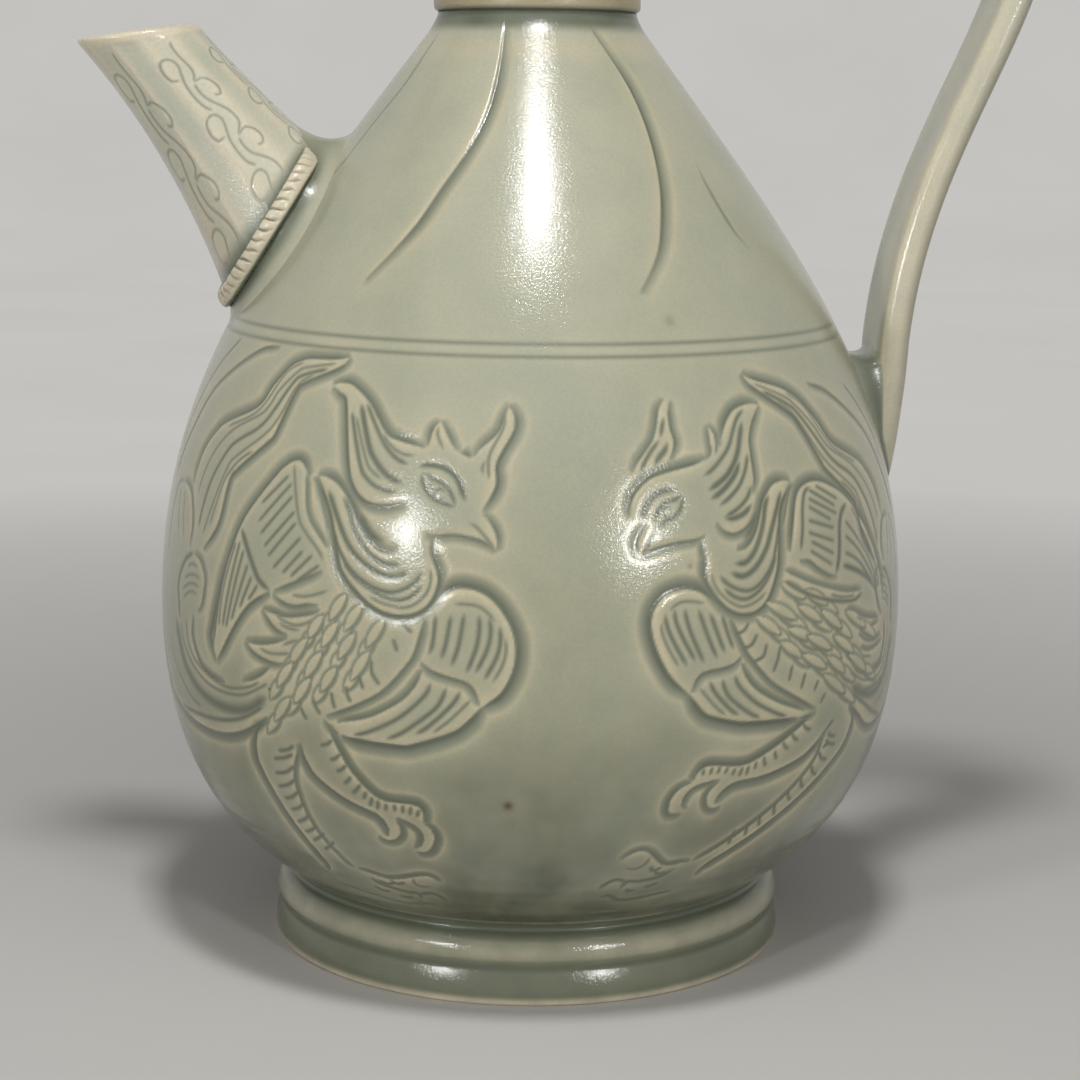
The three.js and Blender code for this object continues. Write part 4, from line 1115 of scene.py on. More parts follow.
def incised_lines(runs, outline):
    """The double line round the shoulder, as heights by row."""
    s = settings("ewer_body")
    middles = [outline.run(s.line_height - drop) for drop in (0, s.line_spacing)]
    return -s.line_depth * sum(bump(runs, middle, 0.45 * s.line_width) for middle in middles)


def body_rows(outline):
    """Runs of the mesh's rows: close together over the carved belly and wider above and below."""
    s = settings("ewer_body")
    wide_step = 1.9 * s.row_step
    low = outline.run(CLOSE_ROWS_FROM)
    high = outline.run(s.line_height + 1.5 * MM)
    top = outline.runs[-1]
    stretches = ((0, low, wide_step), (low, high, s.row_step), (high, top, wide_step))
    rows = [np.linspace(start, end, int((end - start) / step) + 2)[:-1] for start, end, step in stretches]
    return np.concatenate([*rows, [top]])


def body_columns():
    """Angles of the mesh's columns: front, right side, back and left side."""
    s = settings("ewer_body")
    edge = CLOSE_COLUMNS_TO
    front, back = (np.linspace(-edge, edge, int(2 * edge / step) + 2) for step in (s.front_step, s.back_step))
    side = np.linspace(edge, math.pi - edge, 8)[1:-1]
    return front, side, back + math.pi, side + math.pi


def carved_clay(runs, radii, outline):
    """Heights of the edges and of the grooves over the whole body, and the angles of its columns."""
    s = settings("ewer_body")
    camera = PictureCamera()
    cuts = body_cuts(camera, outline)
    scales = body_scales(camera, outline)
    front, right, back, left = body_columns()
    plain = np.zeros((len(runs), len(right)))
    slopes, grooves = [], []
    for thetas, step in ((front, s.row_step), (back - math.pi, s.back_step * s.belly_radius)):
        sloped, grooved = np.zeros((2, len(runs), len(thetas)))
        carve(sloped, grooved, thetas, runs, radii, cuts, step)
        cut_scales(sloped, thetas, runs, radii, scales)
        slopes += [sloped, plain]
        grooves += [grooved, plain]
    grooves = np.minimum(np.hstack(grooves), incised_lines(runs, outline)[:, None])
    return np.hstack(slopes), grooves, np.concatenate([front, right, back, left])


def glaze_over(slopes, grooves):
    """The glaze over carved clay: its surface, how deep it pools and how thin it runs over the edges."""
    clay = np.minimum(slopes, grooves)
    surface = 0.42 * softened(clay, 1.6)
    in_slopes = np.clip(-slopes / (0.92 * MM), 0, 1) ** 1.15
    in_grooves = 0.95 * np.clip(-grooves / (0.36 * MM), 0, 1)
    pool = softened(np.maximum(in_slopes, in_grooves), 0.35)
    narrow_ridge = np.clip((clay - softened(clay, 3.2)) / (0.3 * MM), 0, 1)
    wide_ridge = np.clip((slopes - softened(slopes, 9.0)) / (0.36 * MM), 0, 1)
    rim_depth, rim_width = -0.1 * MM, 0.08 * MM
    rim = np.clip(bump(slopes, rim_depth, rim_width) - bump(0, rim_depth, rim_width), 0, 1)
    ridge = np.clip(0.75 * narrow_ridge + 0.6 * wide_ridge + 0.6 * softened(rim, 1.0), 0, 1)
    return surface, pool, ridge


def body_spots(thetas, runs, radii, outline):
    """The few iron spots that burnt through the glaze."""
    camera = PictureCamera()
    spots = np.zeros((len(runs), len(thetas)))
    for across, down, size, strength in IRON_SPOTS.values():
        theta, run = camera.on_body(across, down, outline)
        off = np.hypot((thetas - theta) * radii[:, None], runs[:, None] - run)
        spots = np.maximum(spots, strength * bump(off, 0, size * MM))
    return spots


def body_inside(outline):
    """The profile of the body's inside, from its mouth down to its floor and through to its underside."""
    s = settings("ewer_body")
    floor = s.joint_height + s.floor
    levels = np.linspace(s.throat_height - 3 * MM, floor + 4 * MM, 26)
    radius, height, normal_r, normal_z = outline.place(outline.run(levels))
    wall = np.column_stack([radius - s.wall * normal_r, height - s.wall * normal_z])
    mouth = [s.throat_radius - s.wall, s.throat_height]
    return np.vstack([mouth, wall, [wall[-1, 0] - s.wall, floor], [2 * MM, floor], [2 * MM, s.joint_height]])


def body_ends(height, runs):
    """How the glaze pools, and how thin it runs, where the body meets the neck and the foot; under the string
    ring the darkening is partly painted shade.
    """
    from_throat = height - settings("ewer_body").throat_height
    # Under the string ring: partly glaze pooled in the fillet, partly painted shade under the ring
    pooled_and_shaded_throat = smooth_step(-4.6 * MM, -2.2 * MM, from_throat)
    at_joint = 1 - smooth_step(0.2 * MM, 1.7 * MM, runs)
    pool = np.maximum(pooled_and_shaded_throat, 0.8 * at_joint)
    ridge = np.maximum(0.5 * bump(from_throat, -7.5 * MM, 2.2 * MM), 0.55 * bump(runs, 2.6 * MM, 0.7 * MM))
    return pool, ridge


def make_body():
    """The thrown body: carved outside, plain inside, closed at the foot and the throat."""
    outline = Outline()
    runs = body_rows(outline)
    radius, height, out_r, out_z = outline.place(runs)
    slopes, grooves, thetas = carved_clay(runs, radius, outline)
    heights, pool, ridge = glaze_over(slopes, grooves)
    end_pool, end_ridge = body_ends(height, runs)
    pool = np.maximum(pool, end_pool[:, None])
    ridge = np.maximum(ridge, end_ridge[:, None])
    wheel = 0.035 * MM * np.sin(2 * math.pi * height / (3.1 * MM)) * smooth_step(60 * MM, 22 * MM, height)
    heights = heights + unevenness(thetas, height[:, None], 0.07 * MM) + wheel[:, None]
    outer = pushed_out(turned(np.column_stack([radius, height]), thetas), thetas, heights * out_r[:, None])
    outer[:, :, 2] += heights * out_z[:, None]
    inside = turned(body_inside(outline), thetas)
    grid = np.concatenate([inside[-1:], outer, inside[:-1]])
    fields = []
    for values in (pool, ridge, body_spots(thetas, runs, radius, outline)):
        field = np.zeros(grid.shape[:2])
        field[1:1 + len(runs)] = values
        fields.append(field)
    return skin("carved_body", grid, *fields, caps=True)


def foot_profile():
    """The foot's outside, from its standing edge up to the body, and its inside, from there down again."""
    s = settings("ewer_foot")
    b = settings("ewer_body")
    stand = s.radius - 0.35 * MM
    groove = [s.radius - s.groove_depth, s.groove_height]
    moulding = [s.radius - s.moulding_inset, s.moulding_height]
    swell = [
        b.joint_radius + (moulding[0] - b.joint_radius) * 0.96,
        s.height - (s.height - s.moulding_height) * 0.36,
    ]
    lap = [b.joint_radius + 1.0 * MM, s.height - 0.75 * MM]
    joint = [b.joint_radius - 0.2 * MM, s.height + 0.1 * MM]
    lap_top = s.height + 2.2 * MM
    outer = np.vstack([
        bow([stand - s.edge, 0], [stand, 0], [stand, s.edge], steps=6),
        curve([stand, s.edge], [s.radius, s.groove_height * 0.36],
              [s.radius - 0.45 * MM, s.groove_height * 0.68], groove, steps=22)[1:],
        curve(groove, [groove[0], s.groove_height + s.groove_width],
              [moulding[0], s.moulding_height - s.groove_width * 0.4], moulding, steps=12)[1:],
        bow(moulding, swell, lap, steps=22)[1:],
        bow(lap, joint, [Outline().radius(lap_top) - 0.02 * MM, lap_top], steps=12)[1:],
    ])
    recess_top = [b.joint_radius - s.top_width, s.height]
    recess = s.radius - s.standing_width - 1 * MM
    inner = np.vstack([
        recess_top,
        bow(recess_top, [recess, s.height * 0.5], [recess, s.edge], steps=8)[1:],
        bow([recess, s.edge], [recess, 0], [recess + 1 * MM, 0], steps=4)[1:],
    ])
    return outer, inner


def make_foot():
    """The turned foot ring: a rounded lower band, a soft groove and a rounded upper moulding."""
    s = settings("ewer_foot")
    outer, inner = foot_profile()
    profile = np.vstack([outer, inner])
    height = profile[:, 1]
    is_outer = np.arange(len(profile)) < len(outer)
    in_groove = 0.85 * bump(height, s.groove_height + 0.4 * MM, 1.1 * MM)
    on_band = 0.42 * smooth_step(s.groove_height + 1 * MM, s.groove_height - 1 * MM, height)
    at_joint = smooth_step(s.height - 2.6 * MM, s.height - 0.4 * MM, height)
    on_edge = 1 - smooth_step(0.7 * MM, 2.2 * MM, height)
    on_moulding = 0.4 * bump(height, s.moulding_height + 1.2 * MM, 1.6 * MM)
    pool = np.where(is_outer, np.maximum(np.maximum(in_groove, on_band), at_joint), 0.2) * (1 - on_edge)
    ridge = np.where(is_outer, np.maximum(on_edge, on_moulding), 0.6)
    thetas = round_angles(360)
    free = smooth_step(0.2 * MM, 3 * MM, height) * smooth_step(s.height, s.height - 2 * MM, height)
    waver = unevenness(thetas, height[:, None], 0.05 * MM) * free[:, None]
    grid = pushed_out(turned(profile, thetas), thetas, waver)
    return skin("foot_ring_turned", grid, pool[:, None], ridge[:, None])


def neck_outline():
    """The neck's outer outline from the throat to under the lip."""
    s = settings("ewer_neck")
    b = settings("ewer_body")
    base = np.array([s.base_radius, b.throat_height])
    waist = np.array([s.waist_radius, b.throat_height + s.waist_rise])
    edge = np.array([s.mouth_radius, s.mouth_height - s.lip])
    low = (waist[1] - base[1]) * s.curve
    high = (s.mouth_height - waist[1]) * s.curve
    splay = high * np.array([math.cos(s.splay), math.sin(s.splay)])
    up = np.array([0.0, 1.0])
    lower = curve(base, base + up * low, waist - up * low, waist, steps=20)
    upper = curve(waist, waist + up * high, edge - splay, edge, steps=50)
    return np.vstack([lower, upper[1:]])


def make_neck():
    """The neck and its trumpet mouth."""
    s = settings("ewer_neck")
    outer = neck_outline()
    course = np.gradient(outer, axis=0)
    course /= np.linalg.norm(course, axis=1)[:, None]
    inner = outer + s.wall * np.column_stack([-course[:, 1], course[:, 0]])
    inner = inner[inner[:, 1] < s.mouth_height - 0.6 * s.lip][::-1]
    top = np.array([outer[-1, 0] - 0.5 * s.lip, s.mouth_height])
    lip = np.vstack([
        bow(outer[-1], [outer[-1, 0] + 0.05 * s.lip, s.mouth_height], top, steps=8)[1:],
        bow(top, [top[0] - 0.8 * s.lip, s.mouth_height], inner[0], steps=8)[1:-1],
    ])
    profile = np.vstack([outer, lip, inner])
    height = profile[:, 1]
    is_outer = np.arange(len(profile)) < len(outer)
    over_ring = np.where(is_outer, 1 - smooth_step(5.5 * MM, 9 * MM, height - height[0]), 0)
    at_rim = smooth_step(s.mouth_height - 2.2 * MM, s.mouth_height - 0.5 * MM, height)
    thetas = round_angles(256)
    free = smooth_step(0, 8 * MM, height - height.min())
    waver = unevenness(thetas, height[:, None], 0.05 * MM) * free[:, None]
    grid = pushed_out(turned(profile, thetas), thetas, waver)
    return skin("neck_with_mouth", grid, over_ring[:, None], at_rim[:, None])


def make_collar():
    """The string ring round the base of the neck."""
    s = settings("ewer_neck")
    low = settings("ewer_body").throat_height
    high = low + s.collar_height
    radius = s.collar_radius
    bore = s.base_radius + 0.3 * MM
    soft = 1.1 * MM
    profile = np.vstack([
        [bore, low],
        bow([radius - soft, low], [radius, low], [radius, low + soft], steps=6),
        bow([radius, low + soft], [radius, (low + high) / 2], [radius, high - soft], steps=6)[1:],
        bow([radius, high - soft], [radius, high], [radius - soft, high], steps=6)[1:],
        [bore, high],
    ])
    rise = profile[:, 1] - low
    pool = 1 - smooth_step(0, 0.9 * MM, rise)
    ridge = smooth_step(0.6 * MM, 1.6 * MM, rise)
    return skin("string_ring", turned(profile, round_angles(256)), pool[:, None], ridge[:, None])


# The spout


class SpoutForm:
    """Points of the faceted spout: a distance along its bent axis, an angle round it and an inset."""

    def __init__(self, outline):
        self.s = settings("ewer_spout")
        self.outline = outline
        self.out = np.array([-math.cos(self.s.rise), 0, math.sin(self.s.rise)])
        self.up = np.array([math.sin(self.s.rise), 0, math.cos(self.s.rise)])
        self.side = np.array([0.0, 1.0, 0.0])
        self.foot = np.array([-outline.radius(self.s.foot_height), 0, self.s.foot_height])
        self.mouth_normal = np.array([-math.sin(self.s.cut_drop), 0, math.cos(self.s.cut_drop)])
        self.root_normal = np.array([-math.cos(self.s.root_slope), 0, math.sin(self.s.root_slope)])

    def centre(self, distance):
        """Points of the axis."""
        distance = np.asarray(distance, float)[..., None]
        bend = -self.s.bend * np.maximum(distance / self.s.length, 0) ** 2
        return self.foot + distance * self.out + bend * self.up

    def radius(self, distance):
        """Radius over the ridges."""
        left = np.maximum((self.s.length - distance) / self.s.length, 0)
        return self.s.mouth_radius + (self.s.root_radius - self.s.mouth_radius) * left ** self.s.taper

    def ridge(self, theta):
        """1 on a ridge between two facets, 0 in the middle of a facet."""
        return np.abs(2 * np.mod(theta * self.s.facets / (2 * math.pi), 1) - 1)

    def point(self, distance, theta, inset=0.0, faceting=1.0):
        """Points of the spout's surface, moved in by the inset."""
        flat = 1 - faceting * self.s.sag * (1 - self.ridge(theta) ** 1.9)
        radius = ((self.radius(distance) - inset) * flat)[..., None]
        around = np.cos(theta)[..., None] * self.up + np.sin(theta)[..., None] * self.side
        return self.centre(distance) + radius * around

    def stop(self, normal, through, theta, inset=0.0):
        """Distance at which each ruling of the spout passes a plane."""
        theta = np.asarray(theta, float)
        return stop_along(
            lambda d: (self.point(d, theta, inset) - through) @ normal,
            np.full(theta.shape, -self.s.length), np.full(theta.shape, 2 * self.s.length))

    def mouth_stop(self, theta, inset=0.0):
        """Distance of the cut mouth."""
        return self.stop(self.mouth_normal, self.centre(self.s.length), theta, inset)

    def root_stop(self, theta, inset=0.0):
        """Distance of the rope's plane."""
        return self.stop(self.root_normal, self.centre(self.s.root_distance), theta, inset)

    def shoulder_stop(self, theta, inset):
        """Distance at which each ruling meets the shoulder."""
        theta = np.asarray(theta, float)

        def outside(distance):
            point = self.point(distance, theta, inset)
            return np.hypot(point[..., 0], point[..., 1]) - self.outline.radius(point[..., 2])

        return stop_along(outside, np.full(theta.shape, -1.3 * self.s.root_radius),
                          np.full(theta.shape, 1.3 * self.s.root_radius))


def placed(grid):
    """A grid of points about the ewer's axis, moved to where the axis stands."""
    return grid + np.array([AXIS_X, 0, 0])


def vine_cuts(run, centre, facet):
    """The scroll vine up one facet: a weaving stem with a loop on its left and a curl on its right."""
    turns = int(VINE_LENGTHS)
    parts = [(VINE_SHOOT, 0)]
    for turn in range(turns - 1):
        parts += [(VINE_LOOP, turn), (VINE_STEM, turn), (VINE_CURL, turn)]
    parts.append((VINE_LOOP, turns - 1))
    cuts = []
    for shares, turn in parts:
        across, down = np.transpose(shares)
        along = run * (1 - (down + (VINE_START + turn)) / VINE_LENGTHS)
        cuts.append((np.column_stack([centre + across * facet / 2, along]), "vine", 0))
    return cuts


def make_spout():
    """The faceted spout with its cut mouth and the scroll vines on every other facet."""
    form = SpoutForm(Outline())
    s = form.s
    facet = 2 * math.pi / s.facets
    thetas = np.linspace(-math.pi, math.pi, s.facets * 28, endpoint=False)
    root = form.root_stop(thetas)
    mouth = form.mouth_stop(thetas)
    rows = np.linspace(0, 1, 170)
    run = float(np.mean(mouth - root))
    distance = root[None, :] + (mouth - s.lip - root)[None, :] * rows[:, None]
    grooves = np.zeros((len(rows), len(thetas)))
    cuts = []
    for pair in range(s.facets // 2):
        cuts += vine_cuts(run, -math.pi + facet * (2 * pair + 1.5), facet)
    radii = form.radius(root.mean() + rows * run)
    carve(grooves, grooves, thetas, rows * run, radii, cuts, 0.28 * MM)
    vine = np.clip(-grooves / (0.2 * MM), 0, 1)
    clouds = 0.5 + 0.5 * np.sin(5 * thetas[None, :] + 9 * rows[:, None] + 1.3 * np.sin(7 * rows[:, None]))
    on_ridge = smooth_step(0.25, 0.95, form.ridge(thetas))[None, :]
    plain = (np.floor((thetas + math.pi) / facet).astype(int) % 2 == 0)[None, :] * (1 - on_ridge)
    near_root = (1 - smooth_step(0.03, 0.13, rows)[:, None]) * (1 - 0.8 * bump(thetas, 0, 0.5))
    pool = np.maximum(0.6 * vine, 0.06 * plain + 0.05 * clouds)
    pool = np.maximum(pool, near_root)
    ridge = 0.6 * on_ridge * (0.6 + 0.4 * clouds) + 0.2 * (1 - plain)
    near_lip = smooth_step(0.95, 0.99, rows)[:, None]
    ridge = np.maximum(ridge * (1 - near_root) * (1 - vine), near_lip)
    pool = pool * (1 - near_lip)
    outer = form.point(distance, np.broadcast_to(thetas, distance.shape), -0.5 * grooves, 1 - near_lip)
    lip_turns = np.linspace(0, math.pi, 10)[1:]
    lip = []
    for turn in lip_turns:
        inset = s.wall / 2 * (1 - math.cos(turn))
        reach = form.mouth_stop(thetas, inset) - s.lip * (1 - math.sin(turn))
        lip.append(form.point(reach, thetas, inset, 0))
    inner_root = form.root_stop(thetas, s.wall)
    inner_mouth = form.mouth_stop(thetas, s.wall) - s.lip
    inner = [
        form.point(inner_root * step + inner_mouth * (1 - step), thetas, s.wall, 0)
        for step in np.linspace(0, 1, 16)[1:]
    ]
    grid = np.concatenate([outer, lip, inner])
    fields = []
    for values, on_lip in ((pool, 0.0), (ridge, 1.0)):
        inside = np.full((len(inner), len(thetas)), 0.1)
        fields.append(np.vstack([values, np.full((len(lip), len(thetas)), on_lip), inside]))
    return skin("carved_spout", placed(grid), *fields)


def make_spout_root():
    """The skirt of luted clay: a cove from the spout to the shoulder, widest in the crotch under the neck."""
    form = SpoutForm(Outline())
    s = form.s
    thetas = np.linspace(-math.pi, math.pi, s.facets * 20, endpoint=False)
    crotch = np.exp(-(thetas / 0.5) ** 2)
    flare = s.flare + s.crotch_fill * crotch
    start = form.point(form.root_stop(thetas) + s.crotch_rise * crotch, thetas, 0.25 * MM)
    corner = form.point(form.shoulder_stop(thetas, 0 * thetas), thetas, 0, 0)
    foot = form.point(form.shoulder_stop(thetas, -flare) - 0.4 * MM, thetas, -flare, 0)
    rows = np.linspace(0, 1, 34)
    outer = []
    for row in rows:
        ring = start * (1 - row) ** 2 + corner * 2 * row * (1 - row) + foot * row ** 2
        beside = np.hypot(ring[:, 0], ring[:, 1])
        shoulder = form.outline.radius(ring[:, 2]) - 0.12 * MM * row ** 4
        settle = smooth_step(0.6, 1, row)
        ring[:, :2] *= (1 - settle + settle * shoulder / beside)[:, None]
        outer.append(ring)
    inner_top = form.root_stop(thetas, s.wall)
    inner_foot = form.shoulder_stop(thetas, s.wall) - 1.5 * MM
    inner = [form.point(inner_foot, thetas, s.wall), form.point(inner_top, thetas, s.wall)]
    grid = np.concatenate([np.array(outer), np.array(inner)])
    low = (1 - crotch)[None, :]
    under_rope = (1 - smooth_step(0.25, 0.6, rows))[:, None] * low
    middle = 0.45 * np.exp(-((rows - 0.45) / 0.25) ** 2)[:, None] * (1 - low)
    pool = np.vstack([under_rope + middle, np.full((2, len(thetas)), 0.2)])
    ridge = 0.5 * np.exp(-((rows - 0.75) / 0.08) ** 2)[:, None]
    ridge = np.vstack([ridge * np.ones_like(low), np.zeros((2, len(thetas)))])
    return skin("spout_skirt", placed(grid), pool, ridge)


def make_rope():
    """The strip of clay laid round the spout's root and nicked like a rope; it sinks in at the crotch."""
    form = SpoutForm(Outline())
    s = form.s
    steps = s.notches * 14
    thetas = round_angles(steps)
    from_top = np.abs(np.mod(thetas + math.pi, 2 * math.pi) - math.pi)
    stand = smooth_step(0.3, 0.95, from_top)
    stop = form.root_stop(thetas)
    seat = form.point(stop, thetas, 0, 0)
    ahead = form.point(stop + s.lip, thetas, 0, 0) - form.point(stop - s.lip, thetas, 0, 0)
    ahead /= np.linalg.norm(ahead, axis=1)[:, None]
    outward = seat - form.centre(stop)
    outward -= (outward * ahead).sum(axis=1)[:, None] * ahead
    outward /= np.linalg.norm(outward, axis=1)[:, None]
    across = np.sin(np.linspace(-math.pi / 2, math.pi / 2, 21))
    sunk = 0.25 * MM
    turns = s.notches * thetas / (2 * math.pi)
    uneven = 0.75 + 0.25 * np.sin(2.9 * turns + 0.7) * np.cos(1.7 * turns)
    rows, pools, ridges = [], [], []
    for place in across:
        turn = turns + s.notch_slant * place + 0.06 * np.sin(5.3 * turns)
        nick = np.maximum(np.cos(2 * math.pi * turn), 0) ** 5 * uneven
        press = nick * smooth_step(-1.0, 0.2, place)
        crown = math.sqrt(max(1 - place ** 2, 0)) ** 0.8
        dip = s.notch_depth * press * crown
        rise = (0.2 + 0.8 * crown) * s.rope_height * stand - dip * stand - 0.5 * MM * (1 - stand)
        rows.append(seat + place * s.rope_width / 2 * ahead + rise[:, None] * outward)
        edge = smooth_step(0.78, 1.0, abs(place))
        pools.append(np.maximum(0.9 * press * stand, edge))
        ridges.append((1 - press) * (1 - edge))
    for place in (1, -1):
        sunk_by = (sunk + 0.5 * MM * (1 - stand))[:, None]
        rows.append(seat + place * s.rope_width / 2 * ahead - sunk_by * outward)
        pools.append(np.ones(steps))
        ridges.append(np.zeros(steps))
    return skin("rope_band", placed(np.array(rows)), np.array(pools), np.array(ridges))


# The handle


def strap_section():
    """The strap's section as closed, smooth points: across it and through it, each from -1 to 1."""
    return flowing(STRAP_SECTION, closed=True, steps=5)


def strap_ring(centre, course, width, thickness, section):
    """One ring of the strap round a point of its course."""
    across = np.array([0.0, 1.0, 0.0])
    outward = np.cross(across, course)
    outward /= np.linalg.norm(outward)
    return centre + section[:, :1] * width / 2 * across + section[:, 1:] * thickness / 2 * outward


def handle_course():
    """Points of the handle's middle line from the crotch to the neck."""
    s = settings("ewer_handle")
    outline = Outline()
    foot = np.array([outline.radius(s.foot_height) + s.foot_standoff, 0, s.foot_height])
    bow_point = np.array([s.reach, 0, s.reach_height])
    rise = s.reach_height - s.foot_height
    up = np.array([0.0, 0.0, 1.0])
    neck = neck_outline()
    neck_radius = float(np.interp(s.neck_height, neck[:, 1], neck[:, 0]))
    toward = np.array([-math.cos(s.neck_drop), 0, -math.sin(s.neck_drop)])
    end = np.array([neck_radius, 0, s.neck_height]) - toward * s.neck_standoff
    rising = curve(foot, foot + up * rise * s.rise_start, bow_point - up * rise * s.rise_end, bow_point, 600)
    arching = curve(bow_point, bow_point + up * s.arch_start, end - toward * s.arch_end, end, 400)
    line = np.vstack([rising[rising[:, 2] >= s.crotch_height], arching[1:]])
    return resample(line, 1.5 * MM), toward, end


def make_strap():
    """The strap handle."""
    s = settings("ewer_handle")
    line, toward, _ = handle_course()
    course = np.gradient(line, axis=0)
    course[0] = (0, 0, 1)
    course[-1] = toward
    section = strap_section()
    grid = np.array([
        strap_ring(point, way, s.width, s.thickness, section) for point, way in zip(line, course)
    ])
    along = np.linspace(0, 1, len(line))[:, None]
    side = np.abs(section[:, 0])[None, :]
    face = section[:, 1][None, :]
    # Painted shade: the strap darkens toward its outer face, where it turns away from the light
    painted_limb_shade = 0.5 * smooth_step(0.0, 0.9, face)
    edge = np.exp(-((side - 0.8) / 0.1) ** 2) * (np.abs(face) > 0.55)
    waver = 0.5 + 0.5 * np.sin(23 * along + 4 * side * np.sign(section[:, 0])[None, :])
    beside = smooth_step(0.78, 0.92, side)
    ridge = np.clip(0.6 * edge + 0.6 * beside + 0.25 * waver * (side < 0.8), 0, 1)
    at_neck = smooth_step(0.96, 1, along)
    pool = np.clip(painted_limb_shade + 0.06 * (1 - waver) * (side < 0.7) + 0.6 * at_neck * (face < 0), 0, 1)
    return skin("strap", placed(grid), pool, ridge, caps=True)


def make_lower_root():
    """The strap's lower end: a tongue run down on the belly, with clay smoothed into the corner round it."""
    s = settings("ewer_handle")
    outline = Outline()
    line, _, _ = handle_course()
    top = line[0, 2]
    across, through = flowing(STRAP_SECTION, closed=True, steps=10).T
    heights = np.linspace(top, s.tip_height, 3000)
    drops = ((top - heights) / (top - s.tip_height))[:, None]
    top_face = line[0, 0] + s.thickness / 2
    tip_face = float(outline.radius(s.tip_height)) + 0.3 * MM
    faces = top_face + (tip_face - top_face) * drops ** 1.3
    width_shares = np.interp(drops, *np.array(TONGUE_WIDTHS).T)
    x = faces - s.thickness * (1 - through) / 2
    y = (s.tip_width + (s.width - s.tip_width) * width_shares) / 2 * across
    on_body = np.sqrt(np.maximum(outline.radius(heights)[:, None] ** 2 - y ** 2, 0))
    crotch = int(np.argmin(np.abs(heights - s.crotch_height + 1.3 * s.crotch_round)))
    gap = float((x - on_body)[crotch].min())
    clear = x - on_body > gap * smooth_step(-0.1, -0.9, through)
    meets = np.where(clear.all(axis=0), len(heights) - 1, np.argmin(clear, axis=0))
    loop = np.column_stack([y[meets, np.arange(len(across))], heights[meets]])
    way = np.roll(loop, -1, axis=0) - np.roll(loop, 1, axis=0)
    outward = np.column_stack([way[:, 1], -way[:, 0]]) / np.linalg.norm(way, axis=1)[:, None]
    outward *= np.sign(np.sum(outward * (loop - loop.mean(axis=0))))

    def on_strap(index, height):
        return np.array([
            np.interp(-height, -heights, x[:, index]), np.interp(-height, -heights, y[:, index]), height])

    def beside_strap(index, distance, sink):
        side, height = loop[index] + outward[index] * distance
        return np.array([math.sqrt(outline.radius(height) ** 2 - side ** 2) - sink, side, height])

    shares = np.linspace(0, 1, 80)
    grid = np.zeros((len(shares), len(across), 3))
    cove = np.zeros((len(shares), len(across)))
    for index, seat in enumerate(loop[:, 1]):
        rise = min(s.crotch_round, 0.8 * (top - seat))
        bend = curve(
            on_strap(index, seat + rise), on_strap(index, seat + 0.2 * rise),
            beside_strap(index, 0.2 * s.crotch_round, 0), beside_strap(index, s.crotch_round, 0.3 * MM), 30)
        straight = np.array([on_strap(index, height) for height in np.linspace(top, seat + rise, 40)])
        course = np.vstack([straight, bend[1:]])
        in_cove = np.concatenate([np.zeros(len(straight)), np.linspace(0, 1, len(bend))[1:]])
        legs = np.linalg.norm(np.diff(course, axis=0), axis=1)
        along = np.concatenate([[0], np.cumsum(legs)]) / legs.sum()
        grid[:, index] = np.column_stack([np.interp(shares, along, part) for part in course.T])
        cove[:, index] = np.interp(shares, along, in_cove)
    drop = np.clip((top - grid[:, :, 2]) / (top - s.tip_height), 0, 1)
    side = np.abs(across)[None, :]
    # Painted shade: the tongue darkens toward its outer face, as the strap does
    painted_limb_shade = 0.5 * smooth_step(0.0, 0.9, through)[None, :] * (1 - drop)
    in_cove = np.sin(math.pi * cove ** 0.8) ** 0.7 + 0.2 * smooth_step(0.6, 1, cove)
    pool = np.clip(painted_limb_shade * (cove == 0) + in_cove, 0, 1)
    edge = np.exp(-((side - 0.8) / 0.1) ** 2) * (np.abs(through) > 0.55)
    beside = smooth_step(0.78, 0.92, side)
    ridge = np.clip(0.6 * edge + 0.6 * beside + 0.12 * (side < 0.8), 0, 1) * (1 - smooth_step(0, 0.3, cove))
    return skin("handle_tongue", placed(grid), pool, ridge, caps=True)


def make_upper_root():
    """The pad that joins the strap to the neck."""
    s = settings("ewer_handle")
    neck_wall = settings("ewer_neck").wall
    _, toward, end = handle_course()
    section = strap_section()
    shares = np.linspace(0, 1, 22)
    rings = []
    for step in shares:
        advance = (s.neck_standoff + neck_wall / 2) * step
        width = s.width + (s.pad_width - s.width) * step ** 2
        thickness = s.thickness + (s.pad_thickness - s.thickness) * step ** 2
        rings.append(strap_ring(end + toward * advance, toward, width, thickness, section))
    side = np.abs(section[:, 0])[None, :]
    near = smooth_step(0.3, 0.8, shares)[:, None]
    pool = near * np.ones_like(side)
    ridge = (1 - near) * np.exp(-((side - 0.8) / 0.12) ** 2)
    return skin("handle_pad", placed(np.array(rings)), pool, ridge, caps=True)


# Glaze materials


